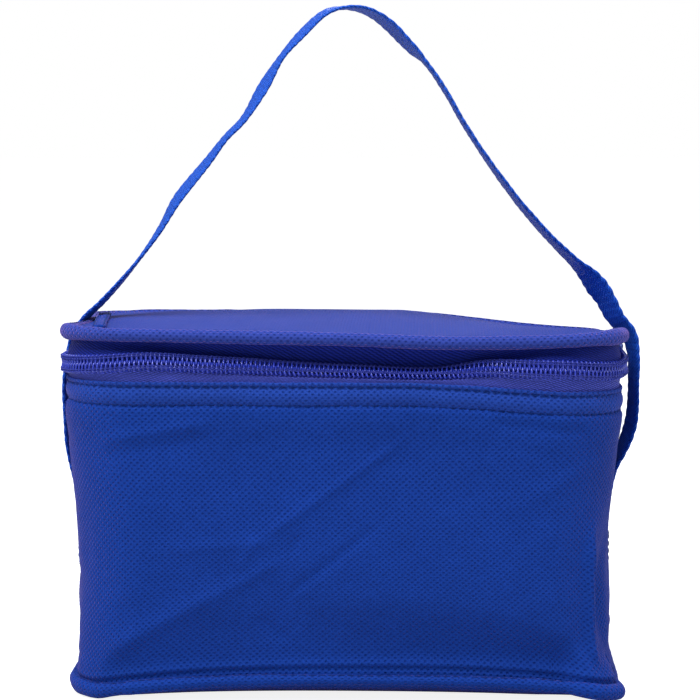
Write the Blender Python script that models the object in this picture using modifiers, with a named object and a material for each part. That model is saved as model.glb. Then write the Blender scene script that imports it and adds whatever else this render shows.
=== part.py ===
"""Soft insulated cooler bag for six cans: zipped lid, foam-lined walls and a webbing carry strap.

Metres, +Z up. The bag stands on the floor at z = 0 and its zipped front faces -Y.
Layers are named by their offset: how far their outer face lies inside the wall's outer face.
"""

import math

import bmesh
import bpy
from mathutils import Matrix, Vector

GAP = 0.0003  # left between sewn or touching layers
CORNER_STEPS = 6
SIDE_STEPS = 6

# Bag wall, from the bottom seam to the mouth: height, half width and half depth of its outer
# face at the corners, and how far its sides and its front bulge beyond that in the middle
WALL_STATIONS = (
    (0.0060, 0.1000, 0.0668, 0.0006, 0.0000),
    (0.0200, 0.0992, 0.0676, 0.0020, 0.0006),
    (0.0400, 0.0984, 0.0682, 0.0030, 0.0010),
    (0.0600, 0.0982, 0.0685, 0.0033, 0.0010),
    (0.0800, 0.0992, 0.0685, 0.0026, 0.0008),
    (0.0970, 0.1008, 0.0685, 0.0012, 0.0004),
    (0.1070, 0.1018, 0.0685, 0.0003, 0.0000),
    (0.1153, 0.1020, 0.0685, 0.0000, 0.0000),
)
MOUTH_HALF_WIDTH = WALL_STATIONS[-1][1]
MOUTH_HALF_DEPTH = WALL_STATIONS[-1][2]
CORNER_RADIUS = 0.028
FABRIC = 0.0008
FOAM = 0.0030
LINING = 0.0005
SEAM_TAPE_WIDTH = 0.0160

# Rolled seam round the bottom, and the layers that it holds
BOTTOM_ROLL_RADIUS = 0.0027
BOTTOM_ROLL_HALF_WIDTH = 0.1003
BOTTOM_ROLL_HALF_DEPTH = 0.0670
BOTTOM_CORNER_RADIUS = 0.0270

# Hem over the top edge of the wall, with the zip tape sewn behind it
HEM_BOTTOM = 0.1067
HEM_TOP = 0.1166
HEM_OFFSET = -0.0017
HEM_THICKNESS = 0.0007
TAPE_OFFSET = -0.0007
TAPE_THICKNESS = 0.0004
LOWER_TAPE_BOTTOM = 0.1082

# Coil zip: two rows of coil on the outside of the tapes' edges
ZIP_CENTRE_HEIGHT = 0.1230
COIL_HALF_GAP = 0.0006
TAPE_HALF_GAP = 0.0009
COIL_WIDTH = 0.0028
COIL_THICKNESS = 0.0022
COIL_OFFSET = -0.0032
ZIP_END_DEG = 15.0  # how far round the back corners the end tabs reach

# Lid: a padded panel inside a rolled seam; it turns on the fabric band under its back edge
LID_ROLL_RADIUS = 0.0028
LID_ROLL_HALF_WIDTH = 0.1032
LID_ROLL_HALF_DEPTH = 0.0690
LID_ROLL_HEIGHT = 0.1348
LID_CORNER_RADIUS = 0.0290
LID_EDGE_TOP = 0.1364
LID_RISE = 0.0022
UPPER_TAPE_TOP = 0.1316

# Folded side band stitched along the left edge of the lid
SIDE_BAND_X = (-0.0955, -0.0850)
SIDE_BAND_Y = (-0.0500, 0.0520)

# Webbing: the strap turns on the tops of its two sewn ends
STRAP_WIDTH = 0.0180
STRAP_THICKNESS = 0.0014
STRAP_END_BOTTOM = 0.0410
STRAP_PIVOT = Vector((0.0, 0.0, 0.0605))
STRAP_ROUTE = (  # x and z of the webbing's middle, from the right side over to the left
    (0.1027, 0.0605),
    (0.1048, 0.0816),
    (0.1095, 0.0940),
    (0.1126, 0.1080),
    (0.1128, 0.1245),
    (0.1088, 0.1372),
    (0.1000, 0.1445),
    (0.0895, 0.1545),
    (0.0730, 0.1730),
    (0.0501, 0.1978),
    (0.0284, 0.2369),
    (0.0154, 0.2514),
    (0.0000, 0.2564),
    (-0.0125, 0.2530),
    (-0.0212, 0.2460),
    (-0.0425, 0.2113),
    (-0.0620, 0.1881),
    (-0.0777, 0.1687),
    (-0.0900, 0.1535),
    (-0.1005, 0.1440),
    (-0.1090, 0.1360),
    (-0.1118, 0.1220),
    (-0.1112, 0.1043),
    (-0.1088, 0.0850),
    (-0.1048, 0.0710),
    (-0.1027, 0.0605),
)
STRAP_SUBSTEPS = 3

# Zip slider on the right side wall, at the closed end of the zip, with its pull tab
SLIDER_Y = 0.0345
SLIDER_LENGTH = 0.0115
SLIDER_HEIGHT = 0.0086
PLATE_THICKNESS = 0.0012
BRIDGE_LENGTH = 0.0035
CROWN_HALF_LENGTH = 0.0026
CROWN_POST = 0.0010
CROWN_REACH = 0.0025
CROWN_HALF_WIDTH = 0.0010
TAB_LENGTH = 0.0220
TAB_THICKNESS = 0.0010
TAB_HALF_WIDTH = 0.0032
TAB_WINDOW = (0.0005, 0.0038)
TAB_WINDOW_HALF_WIDTH = 0.0014

ROYAL_BLUE = (0.012, 0.045, 0.270)
WEBBING_BLUE = (0.006, 0.040, 0.300)
TAPE_BLUE = (0.035, 0.045, 0.230)
COIL_BLUE = (0.030, 0.040, 0.210)
FOIL_SILVER = (0.720, 0.730, 0.740)
FOAM_WHITE = (0.860, 0.860, 0.840)
METAL_BLUE = (0.020, 0.050, 0.260)


def clear_scene():
    for obj in list(bpy.data.objects):
        bpy.data.objects.remove(obj, do_unlink=True)


def new_collection(name):
    collection = bpy.data.collections.new(name)
    bpy.context.scene.collection.children.link(collection)
    return collection


def new_material(name, colour, roughness, metallic):
    material = bpy.data.materials.new(name)
    material.use_nodes = True
    shader = material.node_tree.nodes["Principled BSDF"]
    shader.inputs["Base Color"].default_value = (*colour, 1.0)
    shader.inputs["Roughness"].default_value = roughness
    shader.inputs["Metallic"].default_value = metallic
    material.diffuse_color = (*colour, 1.0)
    return material


def finish_object(name, data, colour, roughness=0.85, metallic=0.0):
    """Put new geometry in the bag's collection with a material of its own."""
    obj = bpy.data.objects.new(name, data)
    data.materials.append(new_material(name, colour, roughness, metallic))
    bag_parts.objects.link(obj)
    return obj


def smooth(obj):
    obj.data.shade_smooth()
    obj.data.set_sharp_from_angle(angle=math.radians(40))


def solidify(obj, thickness, offset=-1.0):
    """Thicken an open surface, by default to the side behind its faces."""
    modifier = obj.modifiers.new("thickness", "SOLIDIFY")
    modifier.thickness = thickness
    modifier.offset = offset
    modifier.use_even_offset = True


def corner_points(centre_x, centre_y, radius, start_deg, end_deg):
    points = []
    for i in range(CORNER_STEPS + 1):
        angle = math.radians(start_deg + (end_deg - start_deg) * i / CORNER_STEPS)
        points.append((centre_x + radius * math.cos(angle), centre_y + radius * math.sin(angle)))
    return points


def rounded_loop(half_width, half_depth, radius):
    """Outline with four round corners, counter-clockwise from above."""
    x = half_width - radius
    y = half_depth - radius
    points = []
    for side_x, side_y, start in ((1, 1, 0), (-1, 1, 90), (-1, -1, 180), (1, -1, 270)):
        points += corner_points(side_x * x, side_y * y, radius, start, start + 90)
    return points


def bulged_loop(half_width, half_depth, radius, side_bulge, front_bulge):
    """The same outline with its four sides bowed outwards."""
    corners = rounded_loop(half_width, half_depth, radius)
    per_corner = CORNER_STEPS + 1
    points = []
    for corner in range(4):
        points += corners[corner * per_corner : (corner + 1) * per_corner]
        start = Vector(points[-1])
        end = Vector(corners[(corner + 1) * per_corner % len(corners)])
        outwards = Vector((end.y - start.y, start.x - end.x)).normalized()
        bulge = front_bulge if corner % 2 == 0 else side_bulge
        for i in range(1, SIDE_STEPS):
            t = i / SIDE_STEPS
            points.append(start.lerp(end, t) + outwards * bulge * 4 * t * (1 - t))
    return points


def mouth_sizes(offset):
    """Half width, half depth and corner radius of a layer at the mouth."""
    return MOUTH_HALF_WIDTH - offset, MOUTH_HALF_DEPTH - offset, CORNER_RADIUS - offset


def front_run(offset):
    """The zip's path: down the left side, across the front and back up the right side."""
    half_width, half_depth, radius = mouth_sizes(offset)
    x = half_width - radius
    y = half_depth - radius
    run = [(-half_width, y - GAP)]
    run += corner_points(-x, -y, radius, 180, 270)
    run += corner_points(x, -y, radius, 270, 360)
    run.append((half_width, y - GAP))
    return run


def back_run(offset, start_deg):
    """The path round the back, starting and ending part way round its corners."""
    half_width, half_depth, radius = mouth_sizes(offset)
    x = half_width - radius
    y = half_depth - radius
    run = corner_points(x, y, radius, start_deg, 90)
    run += corner_points(-x, y, radius, 90, 180 - start_deg)
    return run


def lofted_mesh(name, rings, closed):
    """Faces between successive rings of points, facing out when the rings run counter-clockwise."""
    mesh = bmesh.new()
    rows = [[mesh.verts.new(point) for point in ring] for ring in rings]
    for low, high in zip(rows, rows[1:]):
        count = len(low)
        for i in range(count if closed else count - 1):
            j = (i + 1) % count
            mesh.faces.new((low[i], low[j], high[j], high[i]))
    data = bpy.data.meshes.new(name)
    mesh.to_mesh(data)
    mesh.free()
    return data


def wall_layer(name, offset, thickness, top, colour, roughness=0.85, metallic=0.0):
    """One layer of the wall: a loft through the wall's stations, thickened inwards."""
    rings = []
    for height, half_width, half_depth, side_bulge, front_bulge in WALL_STATIONS:
        z = min(height, top)
        sizes = (half_width - offset, half_depth - offset, CORNER_RADIUS - offset)
        loop = bulged_loop(*sizes, side_bulge, front_bulge)
        rings.append([(x, y, z) for x, y in loop])
    obj = finish_object(name, lofted_mesh(name, rings, closed=True), colour, roughness, metallic)
    smooth(obj)
    solidify(obj, thickness)
    return obj


def strip(name, run, bottom, top, thickness, colour, closed=False, roughness=0.85):
    """A band of cloth standing on edge along a run of points, thickened inwards."""
    rings = [[(x, y, z) for x, y in run] for z in (bottom, top)]
    obj = finish_object(name, lofted_mesh(name, rings, closed), colour, roughness)
    smooth(obj)
    solidify(obj, thickness)
    return obj


def flat_layer(name, half_width, half_depth, radius, bottom, thickness, colour, roughness=0.85, metallic=0.0):
    """A flat sheet with round corners, its lower face at the height given."""
    mesh = bmesh.new()
    mesh.faces.new([mesh.verts.new((x, y, bottom)) for x, y in rounded_loop(half_width, half_depth, radius)])
    data = bpy.data.meshes.new(name)
    mesh.to_mesh(data)
    mesh.free()
    obj = finish_object(name, data, colour, roughness, metallic)
    solidify(obj, thickness, offset=1.0)
    return obj


def seam_roll(name, half_width, half_depth, corner_radius, height, roll_radius, colour):
    """A rolled seam: a round tube along the rounded outline."""
    curve = bpy.data.curves.new(name, "CURVE")
    curve.dimensions = "3D"
    curve.bevel_depth = roll_radius
    curve.bevel_resolution = 2
    loop = rounded_loop(half_width, half_depth, corner_radius)
    spline = curve.splines.new("POLY")
    spline.points.add(len(loop) - 1)
    for point, (x, y) in zip(spline.points, loop):
        point.co = (x, y, height, 1.0)
    spline.use_cyclic_u = True
    return finish_object(name, curve, colour)


def box_mesh(name, low, high):
    low = Vector(low)
    high = Vector(high)
    mesh = bmesh.new()
    size = Matrix.Diagonal((*(high - low), 1.0))
    bmesh.ops.create_cube(mesh, size=1.0, matrix=Matrix.Translation((low + high) / 2) @ size)
    data = bpy.data.meshes.new(name)
    mesh.to_mesh(data)
    mesh.free()
    return data


def boolean(obj, name, data, operation):
    """Join or cut an object with a shape kept in the cutters' collection."""
    cutter = bpy.data.objects.new(name, data)
    cutter.hide_render = True
    cutter.display_type = "WIRE"
    cutters.objects.link(cutter)
    modifier = obj.modifiers.new(name, "BOOLEAN")
    modifier.operation = operation
    modifier.solver = "EXACT"
    modifier.object = cutter
    return cutter


def make_walls():
    top = WALL_STATIONS[-1][0]
    foam_offset = FABRIC + GAP
    lining_offset = foam_offset + FOAM + GAP
    wall_layer("outer_wall", 0.0, FABRIC, top, ROYAL_BLUE)
    wall_layer("wall_foam", foam_offset, FOAM, top - 0.001, FOAM_WHITE)
    wall_layer("wall_lining", lining_offset, LINING, top - 0.001, FOIL_SILVER, 0.3, 0.8)
    make_back_seam_tape(lining_offset + LINING + GAP)


def make_back_seam_tape(offset):
    """The tape inside the bag over the wall's one upright seam, in the middle of the back."""
    rings = []
    for height, _, half_depth, _, bulge in WALL_STATIONS:
        z = min(height, WALL_STATIONS[-1][0] - 0.0015)
        y = half_depth + bulge - offset
        rings.append([(SEAM_TAPE_WIDTH / 2, y, z), (-SEAM_TAPE_WIDTH / 2, y, z)])
    obj = finish_object("back_seam_tape", lofted_mesh("back_seam_tape", rings, closed=False), ROYAL_BLUE)
    solidify(obj, LINING)


def make_bottom():
    """Fabric, foam and foil inside the rolled seam, with the fabric flat on the floor."""
    seam_roll(
        "bottom_seam_roll",
        BOTTOM_ROLL_HALF_WIDTH,
        BOTTOM_ROLL_HALF_DEPTH,
        BOTTOM_CORNER_RADIUS,
        BOTTOM_ROLL_RADIUS,
        BOTTOM_ROLL_RADIUS,
        ROYAL_BLUE,
    )
    inset = BOTTOM_ROLL_RADIUS + GAP
    sizes = (BOTTOM_ROLL_HALF_WIDTH - inset, BOTTOM_ROLL_HALF_DEPTH - inset, BOTTOM_CORNER_RADIUS - inset)
    foam_bottom = FABRIC + GAP
    lining_bottom = foam_bottom + FOAM + GAP
    flat_layer("bottom_panel", *sizes, 0.0, FABRIC, ROYAL_BLUE)
    flat_layer("bottom_foam", *sizes, foam_bottom, FOAM, FOAM_WHITE)
    flat_layer("bottom_lining", *sizes, lining_bottom, LINING, FOIL_SILVER, 0.3, 0.8)


def make_mouth():
    """Hem, lower half of the zip, its end tabs and the fabric that joins the lid at the back."""
    half_width, half_depth, radius = mouth_sizes(HEM_OFFSET)
    hem_loop = rounded_loop(half_width, half_depth, radius)
    strip("rim_band", hem_loop, HEM_BOTTOM, HEM_TOP, HEM_THICKNESS, ROYAL_BLUE, closed=True)
    tape_top = ZIP_CENTRE_HEIGHT - TAPE_HALF_GAP
    strip("lower_zip_tape", front_run(TAPE_OFFSET), LOWER_TAPE_BOTTOM, tape_top, TAPE_THICKNESS, TAPE_BLUE)
    coil_top = ZIP_CENTRE_HEIGHT - COIL_HALF_GAP
    coil_bottom = coil_top - COIL_WIDTH
    strip("lower_zip_coil", front_run(COIL_OFFSET), coil_bottom, coil_top, COIL_THICKNESS, COIL_BLUE)
    band_start = ZIP_END_DEG + 0.8
    band_run = back_run(TAPE_OFFSET, band_start)
    strip("back_hinge_band", band_run, LOWER_TAPE_BOTTOM, UPPER_TAPE_TOP - 0.0004, TAPE_THICKNESS, ROYAL_BLUE)
    make_zip_ends()


def make_zip_ends():
    """A folded tab over each end of the zip, just round the back corners."""
    half_width, half_depth, radius = mouth_sizes(COIL_OFFSET)
    x = half_width - radius
    y = half_depth - radius
    bottom = HEM_TOP + GAP
    top = UPPER_TAPE_TOP - 0.0004
    right_run = corner_points(x, y, radius, 1.0, ZIP_END_DEG)
    left_run = corner_points(-x, y, radius, 180.0 - ZIP_END_DEG, 179.0)
    thickness = TAPE_OFFSET - COIL_OFFSET - GAP
    strip("zip_end_right", right_run, bottom, top, thickness, ROYAL_BLUE)
    strip("zip_end_left", left_run, bottom, top, thickness, ROYAL_BLUE)


def lid_height(x, y, half_width, half_depth):
    """The lid's top face: highest in the middle and level round its edge."""
    return LID_EDGE_TOP + LID_RISE * (1 - (x / half_width) ** 2) * (1 - (y / half_depth) ** 2)


def lid_layer(name, drop, thickness, colour, roughness=0.85, metallic=0.0):
    """A domed sheet inside the lid's rolled seam, its top face below the lid's by drop."""
    inset = LID_ROLL_RADIUS + GAP
    half_width = LID_ROLL_HALF_WIDTH - inset
    half_depth = LID_ROLL_HALF_DEPTH - inset
    outline = rounded_loop(half_width, half_depth, LID_CORNER_RADIUS - inset)
    mesh = bmesh.new()
    rows = []
    for scale in (1.0, 0.75, 0.5, 0.25):
        row = []
        for edge_x, edge_y in outline:
            x = edge_x * scale
            y = edge_y * scale
            row.append(mesh.verts.new((x, y, lid_height(x, y, half_width, half_depth) - drop)))
        rows.append(row)
    for outer, inner in zip(rows, rows[1:]):
        for i in range(len(outer)):
            j = (i + 1) % len(outer)
            mesh.faces.new((outer[i], outer[j], inner[j], inner[i]))
    middle = mesh.verts.new((0, 0, lid_height(0, 0, half_width, half_depth) - drop))
    for i in range(len(rows[-1])):
        mesh.faces.new((rows[-1][i], rows[-1][(i + 1) % len(rows[-1])], middle))
    data = bpy.data.meshes.new(name)
    mesh.to_mesh(data)
    mesh.free()
    obj = finish_object(name, data, colour, roughness, metallic)
    smooth(obj)
    solidify(obj, thickness)
    return obj


def make_side_band():
    """The folded band that is stitched on the lid along its left edge, following its dome."""
    half_width = LID_ROLL_HALF_WIDTH - LID_ROLL_RADIUS - GAP
    half_depth = LID_ROLL_HALF_DEPTH - LID_ROLL_RADIUS - GAP
    steps = 8
    rows = []
    for x in SIDE_BAND_X:
        row = []
        for i in range(steps + 1):
            y = SIDE_BAND_Y[1] + (SIDE_BAND_Y[0] - SIDE_BAND_Y[1]) * i / steps
            row.append((x, y, lid_height(x, y, half_width, half_depth) + GAP))
        rows.append(row)
    obj = finish_object("lid_side_band", lofted_mesh("lid_side_band", rows, closed=False), ROYAL_BLUE)
    solidify(obj, FABRIC, offset=1.0)


def make_lid():
    seam_roll(
        "lid_seam_roll",
        LID_ROLL_HALF_WIDTH,
        LID_ROLL_HALF_DEPTH,
        LID_CORNER_RADIUS,
        LID_ROLL_HEIGHT,
        LID_ROLL_RADIUS,
        ROYAL_BLUE,
    )
    foam_drop = FABRIC + GAP
    lining_drop = foam_drop + FOAM + GAP
    lid_layer("lid_panel", 0.0, FABRIC, ROYAL_BLUE)
    lid_layer("lid_foam", foam_drop, FOAM, FOAM_WHITE)
    lid_layer("lid_lining", lining_drop, LINING, FOIL_SILVER, 0.3, 0.8)
    tape_bottom = ZIP_CENTRE_HEIGHT + TAPE_HALF_GAP
    strip("upper_zip_tape", front_run(TAPE_OFFSET), tape_bottom, UPPER_TAPE_TOP, TAPE_THICKNESS, TAPE_BLUE)
    coil_bottom = ZIP_CENTRE_HEIGHT + COIL_HALF_GAP
    coil_top = coil_bottom + COIL_WIDTH
    strip("upper_zip_coil", front_run(COIL_OFFSET), coil_bottom, coil_top, COIL_THICKNESS, COIL_BLUE)
    make_side_band()


def route_point(a, b, c, d, t):
    """Catmull-Rom point between b and c."""
    return 0.5 * (2 * b + (c - a) * t + (2 * a - 5 * b + 4 * c - d) * t**2 + (3 * b - a - 3 * c + d) * t**3)


def smooth_route(corners):
    points = [Vector(corner) for corner in corners]
    padded = [2 * points[0] - points[1], *points, 2 * points[-1] - points[-2]]
    route = []
    for i in range(len(points) - 1):
        for step in range(STRAP_SUBSTEPS):
            route.append(route_point(*padded[i : i + 4], step / STRAP_SUBSTEPS))
    route.append(points[-1])
    return route


def make_strap():
    """The free webbing between the sewn ends, and the ends themselves flat on the side walls."""
    half = STRAP_WIDTH / 2
    route = smooth_route(STRAP_ROUTE)
    rows = [[(p.x, y, p.y - STRAP_PIVOT.z) for p in route] for y in (half, -half)]
    obj = finish_object("carry_strap", lofted_mesh("carry_strap", rows, closed=False), WEBBING_BLUE, 0.7)
    obj.location = STRAP_PIVOT
    smooth(obj)
    solidify(obj, STRAP_THICKNESS, offset=0.0)
    for name, side in (("strap_end_right", 1), ("strap_end_left", -1)):
        inner = side * (WALL_STATIONS[3][1] + WALL_STATIONS[3][3] + GAP)
        outer = inner + side * STRAP_THICKNESS
        low = (min(inner, outer), -half, STRAP_END_BOTTOM)
        high = (max(inner, outer), half, STRAP_PIVOT.z - GAP)
        finish_object(name, box_mesh(name, low, high), WEBBING_BLUE, 0.7)


def make_slider():
    """Two plates that hold the coil between them, a bridge through the chain and a crown for the tab."""
    z = ZIP_CENTRE_HEIGHT
    length = SLIDER_LENGTH / 2
    height = SLIDER_HEIGHT / 2
    coil_face = MOUTH_HALF_WIDTH - COIL_OFFSET
    tape_back = MOUTH_HALF_WIDTH - TAPE_OFFSET - TAPE_THICKNESS
    outer_plate = coil_face + 0.0004
    crown_base = outer_plate + PLATE_THICKNESS
    inner_plate = tape_back - GAP
    overlap = 0.0002
    bridge_half = COIL_HALF_GAP - GAP
    slider = finish_object(
        "zip_slider",
        box_mesh("zip_slider", (outer_plate, -length, z - height), (crown_base, length, z + height)),
        METAL_BLUE,
        0.35,
        0.9,
    )
    slider.location = (0.0, SLIDER_Y, 0.0)
    posts = (-CROWN_HALF_LENGTH, CROWN_HALF_LENGTH - CROWN_POST)
    crown_top = crown_base + CROWN_REACH
    shapes = {
        "slider_inner_plate": (
            (inner_plate - PLATE_THICKNESS, -length, z - height),
            (inner_plate, length, z + height),
        ),
        "slider_bridge": (
            (inner_plate - overlap, length - BRIDGE_LENGTH, z - bridge_half),
            (outer_plate + overlap, length, z + bridge_half),
        ),
        "slider_crown_bar": (
            (crown_top - 0.0007, -CROWN_HALF_LENGTH, z - CROWN_HALF_WIDTH),
            (crown_top, CROWN_HALF_LENGTH, z + CROWN_HALF_WIDTH),
        ),
    }
    for i, start in enumerate(posts):
        shapes[f"slider_crown_post_{i}"] = (
            (crown_base - overlap, start, z - CROWN_HALF_WIDTH),
            (crown_top - overlap, start + CROWN_POST, z + CROWN_HALF_WIDTH),
        )
    for name, (low, high) in shapes.items():
        cutter = boolean(slider, name, box_mesh(name, low, high), "UNION")
        cutter.location = slider.location


def make_pull_tab():
    """A flat tab with a window round the crown, hung on a thin bar through it."""
    slider_face = MOUTH_HALF_WIDTH - COIL_OFFSET + 0.0004 + PLATE_THICKNESS
    axis_x = slider_face + TAB_THICKNESS / 2 + 0.0004
    half = TAB_THICKNESS / 2
    data = box_mesh("pull_tab", (-half, -0.0005, -TAB_HALF_WIDTH), (half, TAB_LENGTH, TAB_HALF_WIDTH))
    tab = finish_object("pull_tab", data, METAL_BLUE, 0.35, 0.9)
    tab.location = (axis_x, SLIDER_Y, ZIP_CENTRE_HEIGHT)
    low = (-0.002, TAB_WINDOW[0], -TAB_WINDOW_HALF_WIDTH)
    high = (0.002, TAB_WINDOW[1], TAB_WINDOW_HALF_WIDTH)
    cutter = boolean(tab, "tab_window", box_mesh("tab_window", low, high), "DIFFERENCE")
    cutter.location = tab.location


clear_scene()
bag_parts = new_collection("insulated_cooler_bag")
cutters = new_collection("cutters")
make_walls()
make_bottom()
make_mouth()
make_lid()
make_strap()
make_slider()
make_pull_tab()
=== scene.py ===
import math

import bmesh
import bpy
import numpy as np
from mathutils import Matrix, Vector, noise


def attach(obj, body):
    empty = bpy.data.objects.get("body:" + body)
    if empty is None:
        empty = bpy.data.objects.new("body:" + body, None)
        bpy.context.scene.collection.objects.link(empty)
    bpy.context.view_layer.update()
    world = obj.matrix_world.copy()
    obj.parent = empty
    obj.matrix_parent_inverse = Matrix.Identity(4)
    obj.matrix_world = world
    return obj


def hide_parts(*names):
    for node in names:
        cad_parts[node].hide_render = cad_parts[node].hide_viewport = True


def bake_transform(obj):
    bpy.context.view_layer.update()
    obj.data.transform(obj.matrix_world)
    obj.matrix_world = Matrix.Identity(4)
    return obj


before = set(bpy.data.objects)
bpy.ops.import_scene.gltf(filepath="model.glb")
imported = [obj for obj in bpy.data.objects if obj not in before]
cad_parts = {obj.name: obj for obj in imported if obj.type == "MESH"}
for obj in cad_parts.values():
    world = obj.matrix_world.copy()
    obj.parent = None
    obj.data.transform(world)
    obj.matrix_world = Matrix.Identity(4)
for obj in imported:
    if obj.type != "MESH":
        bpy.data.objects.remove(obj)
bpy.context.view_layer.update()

# shared shape helpers

mouth = {"halfWidth": 0.1020, "halfDepth": 0.0685, "corner": 0.028}  # outer face of the wall at its top edge


def smoothStep(x, low, high):
    s = np.clip((x - low) / (high - low), 0.0, 1.0)
    return s * s * (3 - 2 * s)


def hump(x, centre, width):
    return np.exp(-(((x - centre) / width) ** 2))


def curveThrough(x, knots):
    # smooth curve through a few chosen (x, y) points
    xs, ys = np.array(knots, float).T
    slope = np.gradient(ys, xs)
    i = np.clip(np.searchsorted(xs, x) - 1, 0, len(xs) - 2)
    h = xs[i + 1] - xs[i]
    s = np.clip((x - xs[i]) / h, 0.0, 1.0)
    rise = (2 * s**3 - 3 * s**2 + 1) * ys[i] + (3 * s**2 - 2 * s**3) * ys[i + 1]
    return rise + (s**3 - 2 * s**2 + s) * h * slope[i] + (s**3 - s**2) * h * slope[i + 1]


def clothNoise(x, y, z, size, seed=0.0):
    # soft lumps of about this size in metres, from -1 to 1
    x, y, z = np.broadcast_arrays(x, y, z)
    flat = np.stack((x.ravel(), y.ravel(), z.ravel()), 1) / size + (seed * 7.3, seed * 3.1, seed * 5.7)
    return np.array([noise.noise(p) for p in flat.tolist()]).reshape(x.shape)


# The way round the bag: t runs from 0 to 1 counter-clockwise seen from above, from the middle of the back
straightX = mouth["halfWidth"] - mouth["corner"]
straightY = mouth["halfDepth"] - mouth["corner"]
quarterTurn = math.pi / 2 * mouth["corner"]
runLengths = [straightX, quarterTurn, 2 * straightY, quarterTurn, 2 * straightX, quarterTurn, 2 * straightY,
              quarterTurn, straightX]
runEnds = np.concatenate(([0.0], np.cumsum(runLengths)))
aroundLength = runEnds[-1]


def outline(t, halfWidth, halfDepth, corner):
    # x, y and the outward normal on a rectangle with round corners
    s = np.asarray(t) * aroundLength
    coreX = np.interp(s, runEnds, [0, -1, -1, -1, -1, 1, 1, 1, 1, 0])
    coreY = np.interp(s, runEnds, [1, 1, 1, -1, -1, -1, -1, 1, 1, 1])
    angle = np.interp(s, runEnds, np.radians([90, 90, 180, 180, 270, 270, 360, 360, 450, 450]))
    nx, ny = np.cos(angle), np.sin(angle)
    return coreX * (halfWidth - corner) + corner * nx, coreY * (halfDepth - corner) + corner * ny, nx, ny


def mouthOutline(t):
    return outline(t, mouth["halfWidth"], mouth["halfDepth"], mouth["corner"])


def mouthPoint(t, outwards, z):
    x, y, nx, ny = mouthOutline(t)
    return np.stack(np.broadcast_arrays(x + nx * outwards, y + ny * outwards, z), -1)


def wholeTurn(columns):
    return np.arange(columns) / columns


def uvGrid(across, up):
    return np.stack(np.meshgrid(across, up), -1)


def turnUv(columns, up):
    return uvGrid(np.arange(columns + 1) / columns * aroundLength, up)


def lengthsAlong(points):
    return np.concatenate(([0.0], np.cumsum(np.linalg.norm(np.diff(points, axis=0), axis=1))))


def newPiece(name, vertices, faces, uv):
    mesh = bpy.data.meshes.new(name)
    mesh.from_pydata(np.asarray(vertices).reshape(-1, 3).tolist(), [], faces)
    layer = mesh.uv_layers.new(name="clothMetres")
    layer.data.foreach_set("uv", np.asarray(uv, np.float32).ravel())
    mesh.shade_smooth()
    mesh.update()
    piece = bpy.data.objects.new(name, mesh)
    bpy.context.scene.collection.objects.link(piece)
    return piece


def netQuads(rows, columns, closeRows, closeColumns):
    r = np.arange(rows if closeRows else rows - 1)[:, None]
    c = np.arange(columns if closeColumns else columns - 1)[None, :]
    r, c = np.broadcast_arrays(r, c)
    r2, c2 = (r + 1) % rows, (c + 1) % columns
    quads = np.stack((r * columns + c, r * columns + c2, r2 * columns + c2, r2 * columns + c), -1)
    return r, c, quads.reshape(-1, 4)


def gridPiece(name, points, uv, closeColumns=False, closeRows=False):
    # a net of quads over rows and columns of points; uv has one row or column more where the net closes
    r, c, quads = netQuads(*points.shape[:2], closeRows, closeColumns)
    corners = np.stack((uv[r, c], uv[r, c + 1], uv[r + 1, c + 1], uv[r + 1, c]), 2)
    return newPiece(name, points, quads.tolist(), corners)


def discPiece(name, points, plan):
    # rings of quads from the edge inwards, closed by one face in the middle; the plan is its flat cloth
    rows, columns = points.shape[:2]
    quads = netQuads(rows, columns, False, True)[2]
    inmost = (rows - 1) * columns
    faces = quads.tolist() + [list(range(inmost, rows * columns))]
    flat = plan.reshape(-1, 2)
    return newPiece(name, points, faces, np.vstack((flat[quads.ravel()], flat[inmost:])))


def closeEnds(piece):
    # fills the two open ends of a swept strip
    mesh = bmesh.new()
    mesh.from_mesh(piece.data)
    bmesh.ops.holes_fill(mesh, edges=[e for e in mesh.edges if e.is_boundary], sides=0)
    bmesh.ops.recalc_face_normals(mesh, faces=mesh.faces)
    mesh.to_mesh(piece.data)
    mesh.free()
    piece.data.shade_smooth()


def thicken(piece, thickness, offset=-1.0):
    modifier = piece.modifiers.new("clothThickness", "SOLIDIFY")
    modifier.thickness = thickness
    modifier.offset = offset
    modifier.use_even_offset = False
    return piece


def tubes(name, centres, sideA, sideB, radius, sides=6):
    # one tube with capped ends for each row of centres
    centres = np.asarray(centres, float)
    count, steps = centres.shape[:2]
    radius = np.broadcast_to(radius, centres.shape[:2])
    turn = np.arange(sides) / sides * 2 * math.pi
    ring = np.cos(turn)[:, None] * sideA[:, :, None, :] + np.sin(turn)[:, None] * sideB[:, :, None, :]
    points = centres[:, :, None, :] + ring * radius[:, :, None, None]
    index = np.arange(count * steps * sides).reshape(count, steps, sides)
    before, after = index[:, :-1], index[:, 1:]
    quads = np.stack((before, np.roll(before, -1, axis=2), np.roll(after, -1, axis=2), after), -1)
    caps = index[:, 0, ::-1].tolist() + index[:, -1].tolist()
    faces = quads.reshape(-1, 4).tolist() + caps
    length = np.cumsum(np.linalg.norm(np.diff(centres, axis=1, prepend=centres[:, :1]), axis=2), axis=1)
    u0 = length[:, :-1, None] + np.zeros(sides)
    u1 = length[:, 1:, None] + np.zeros(sides)
    v0 = np.arange(sides) / sides * 2 * math.pi * float(radius.mean())
    v1 = v0 + 2 * math.pi * float(radius.mean()) / sides
    v0, v1 = np.broadcast_to(v0, u0.shape), np.broadcast_to(v1, u0.shape)
    uv = np.stack([np.stack(corner, -1) for corner in ((u0, v0), (u0, v1), (u1, v1), (u1, v0))], 3)
    uv = np.concatenate((uv.reshape(-1, 2), np.zeros((len(caps) * sides, 2))))
    return newPiece(name, points, faces, uv)


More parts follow.
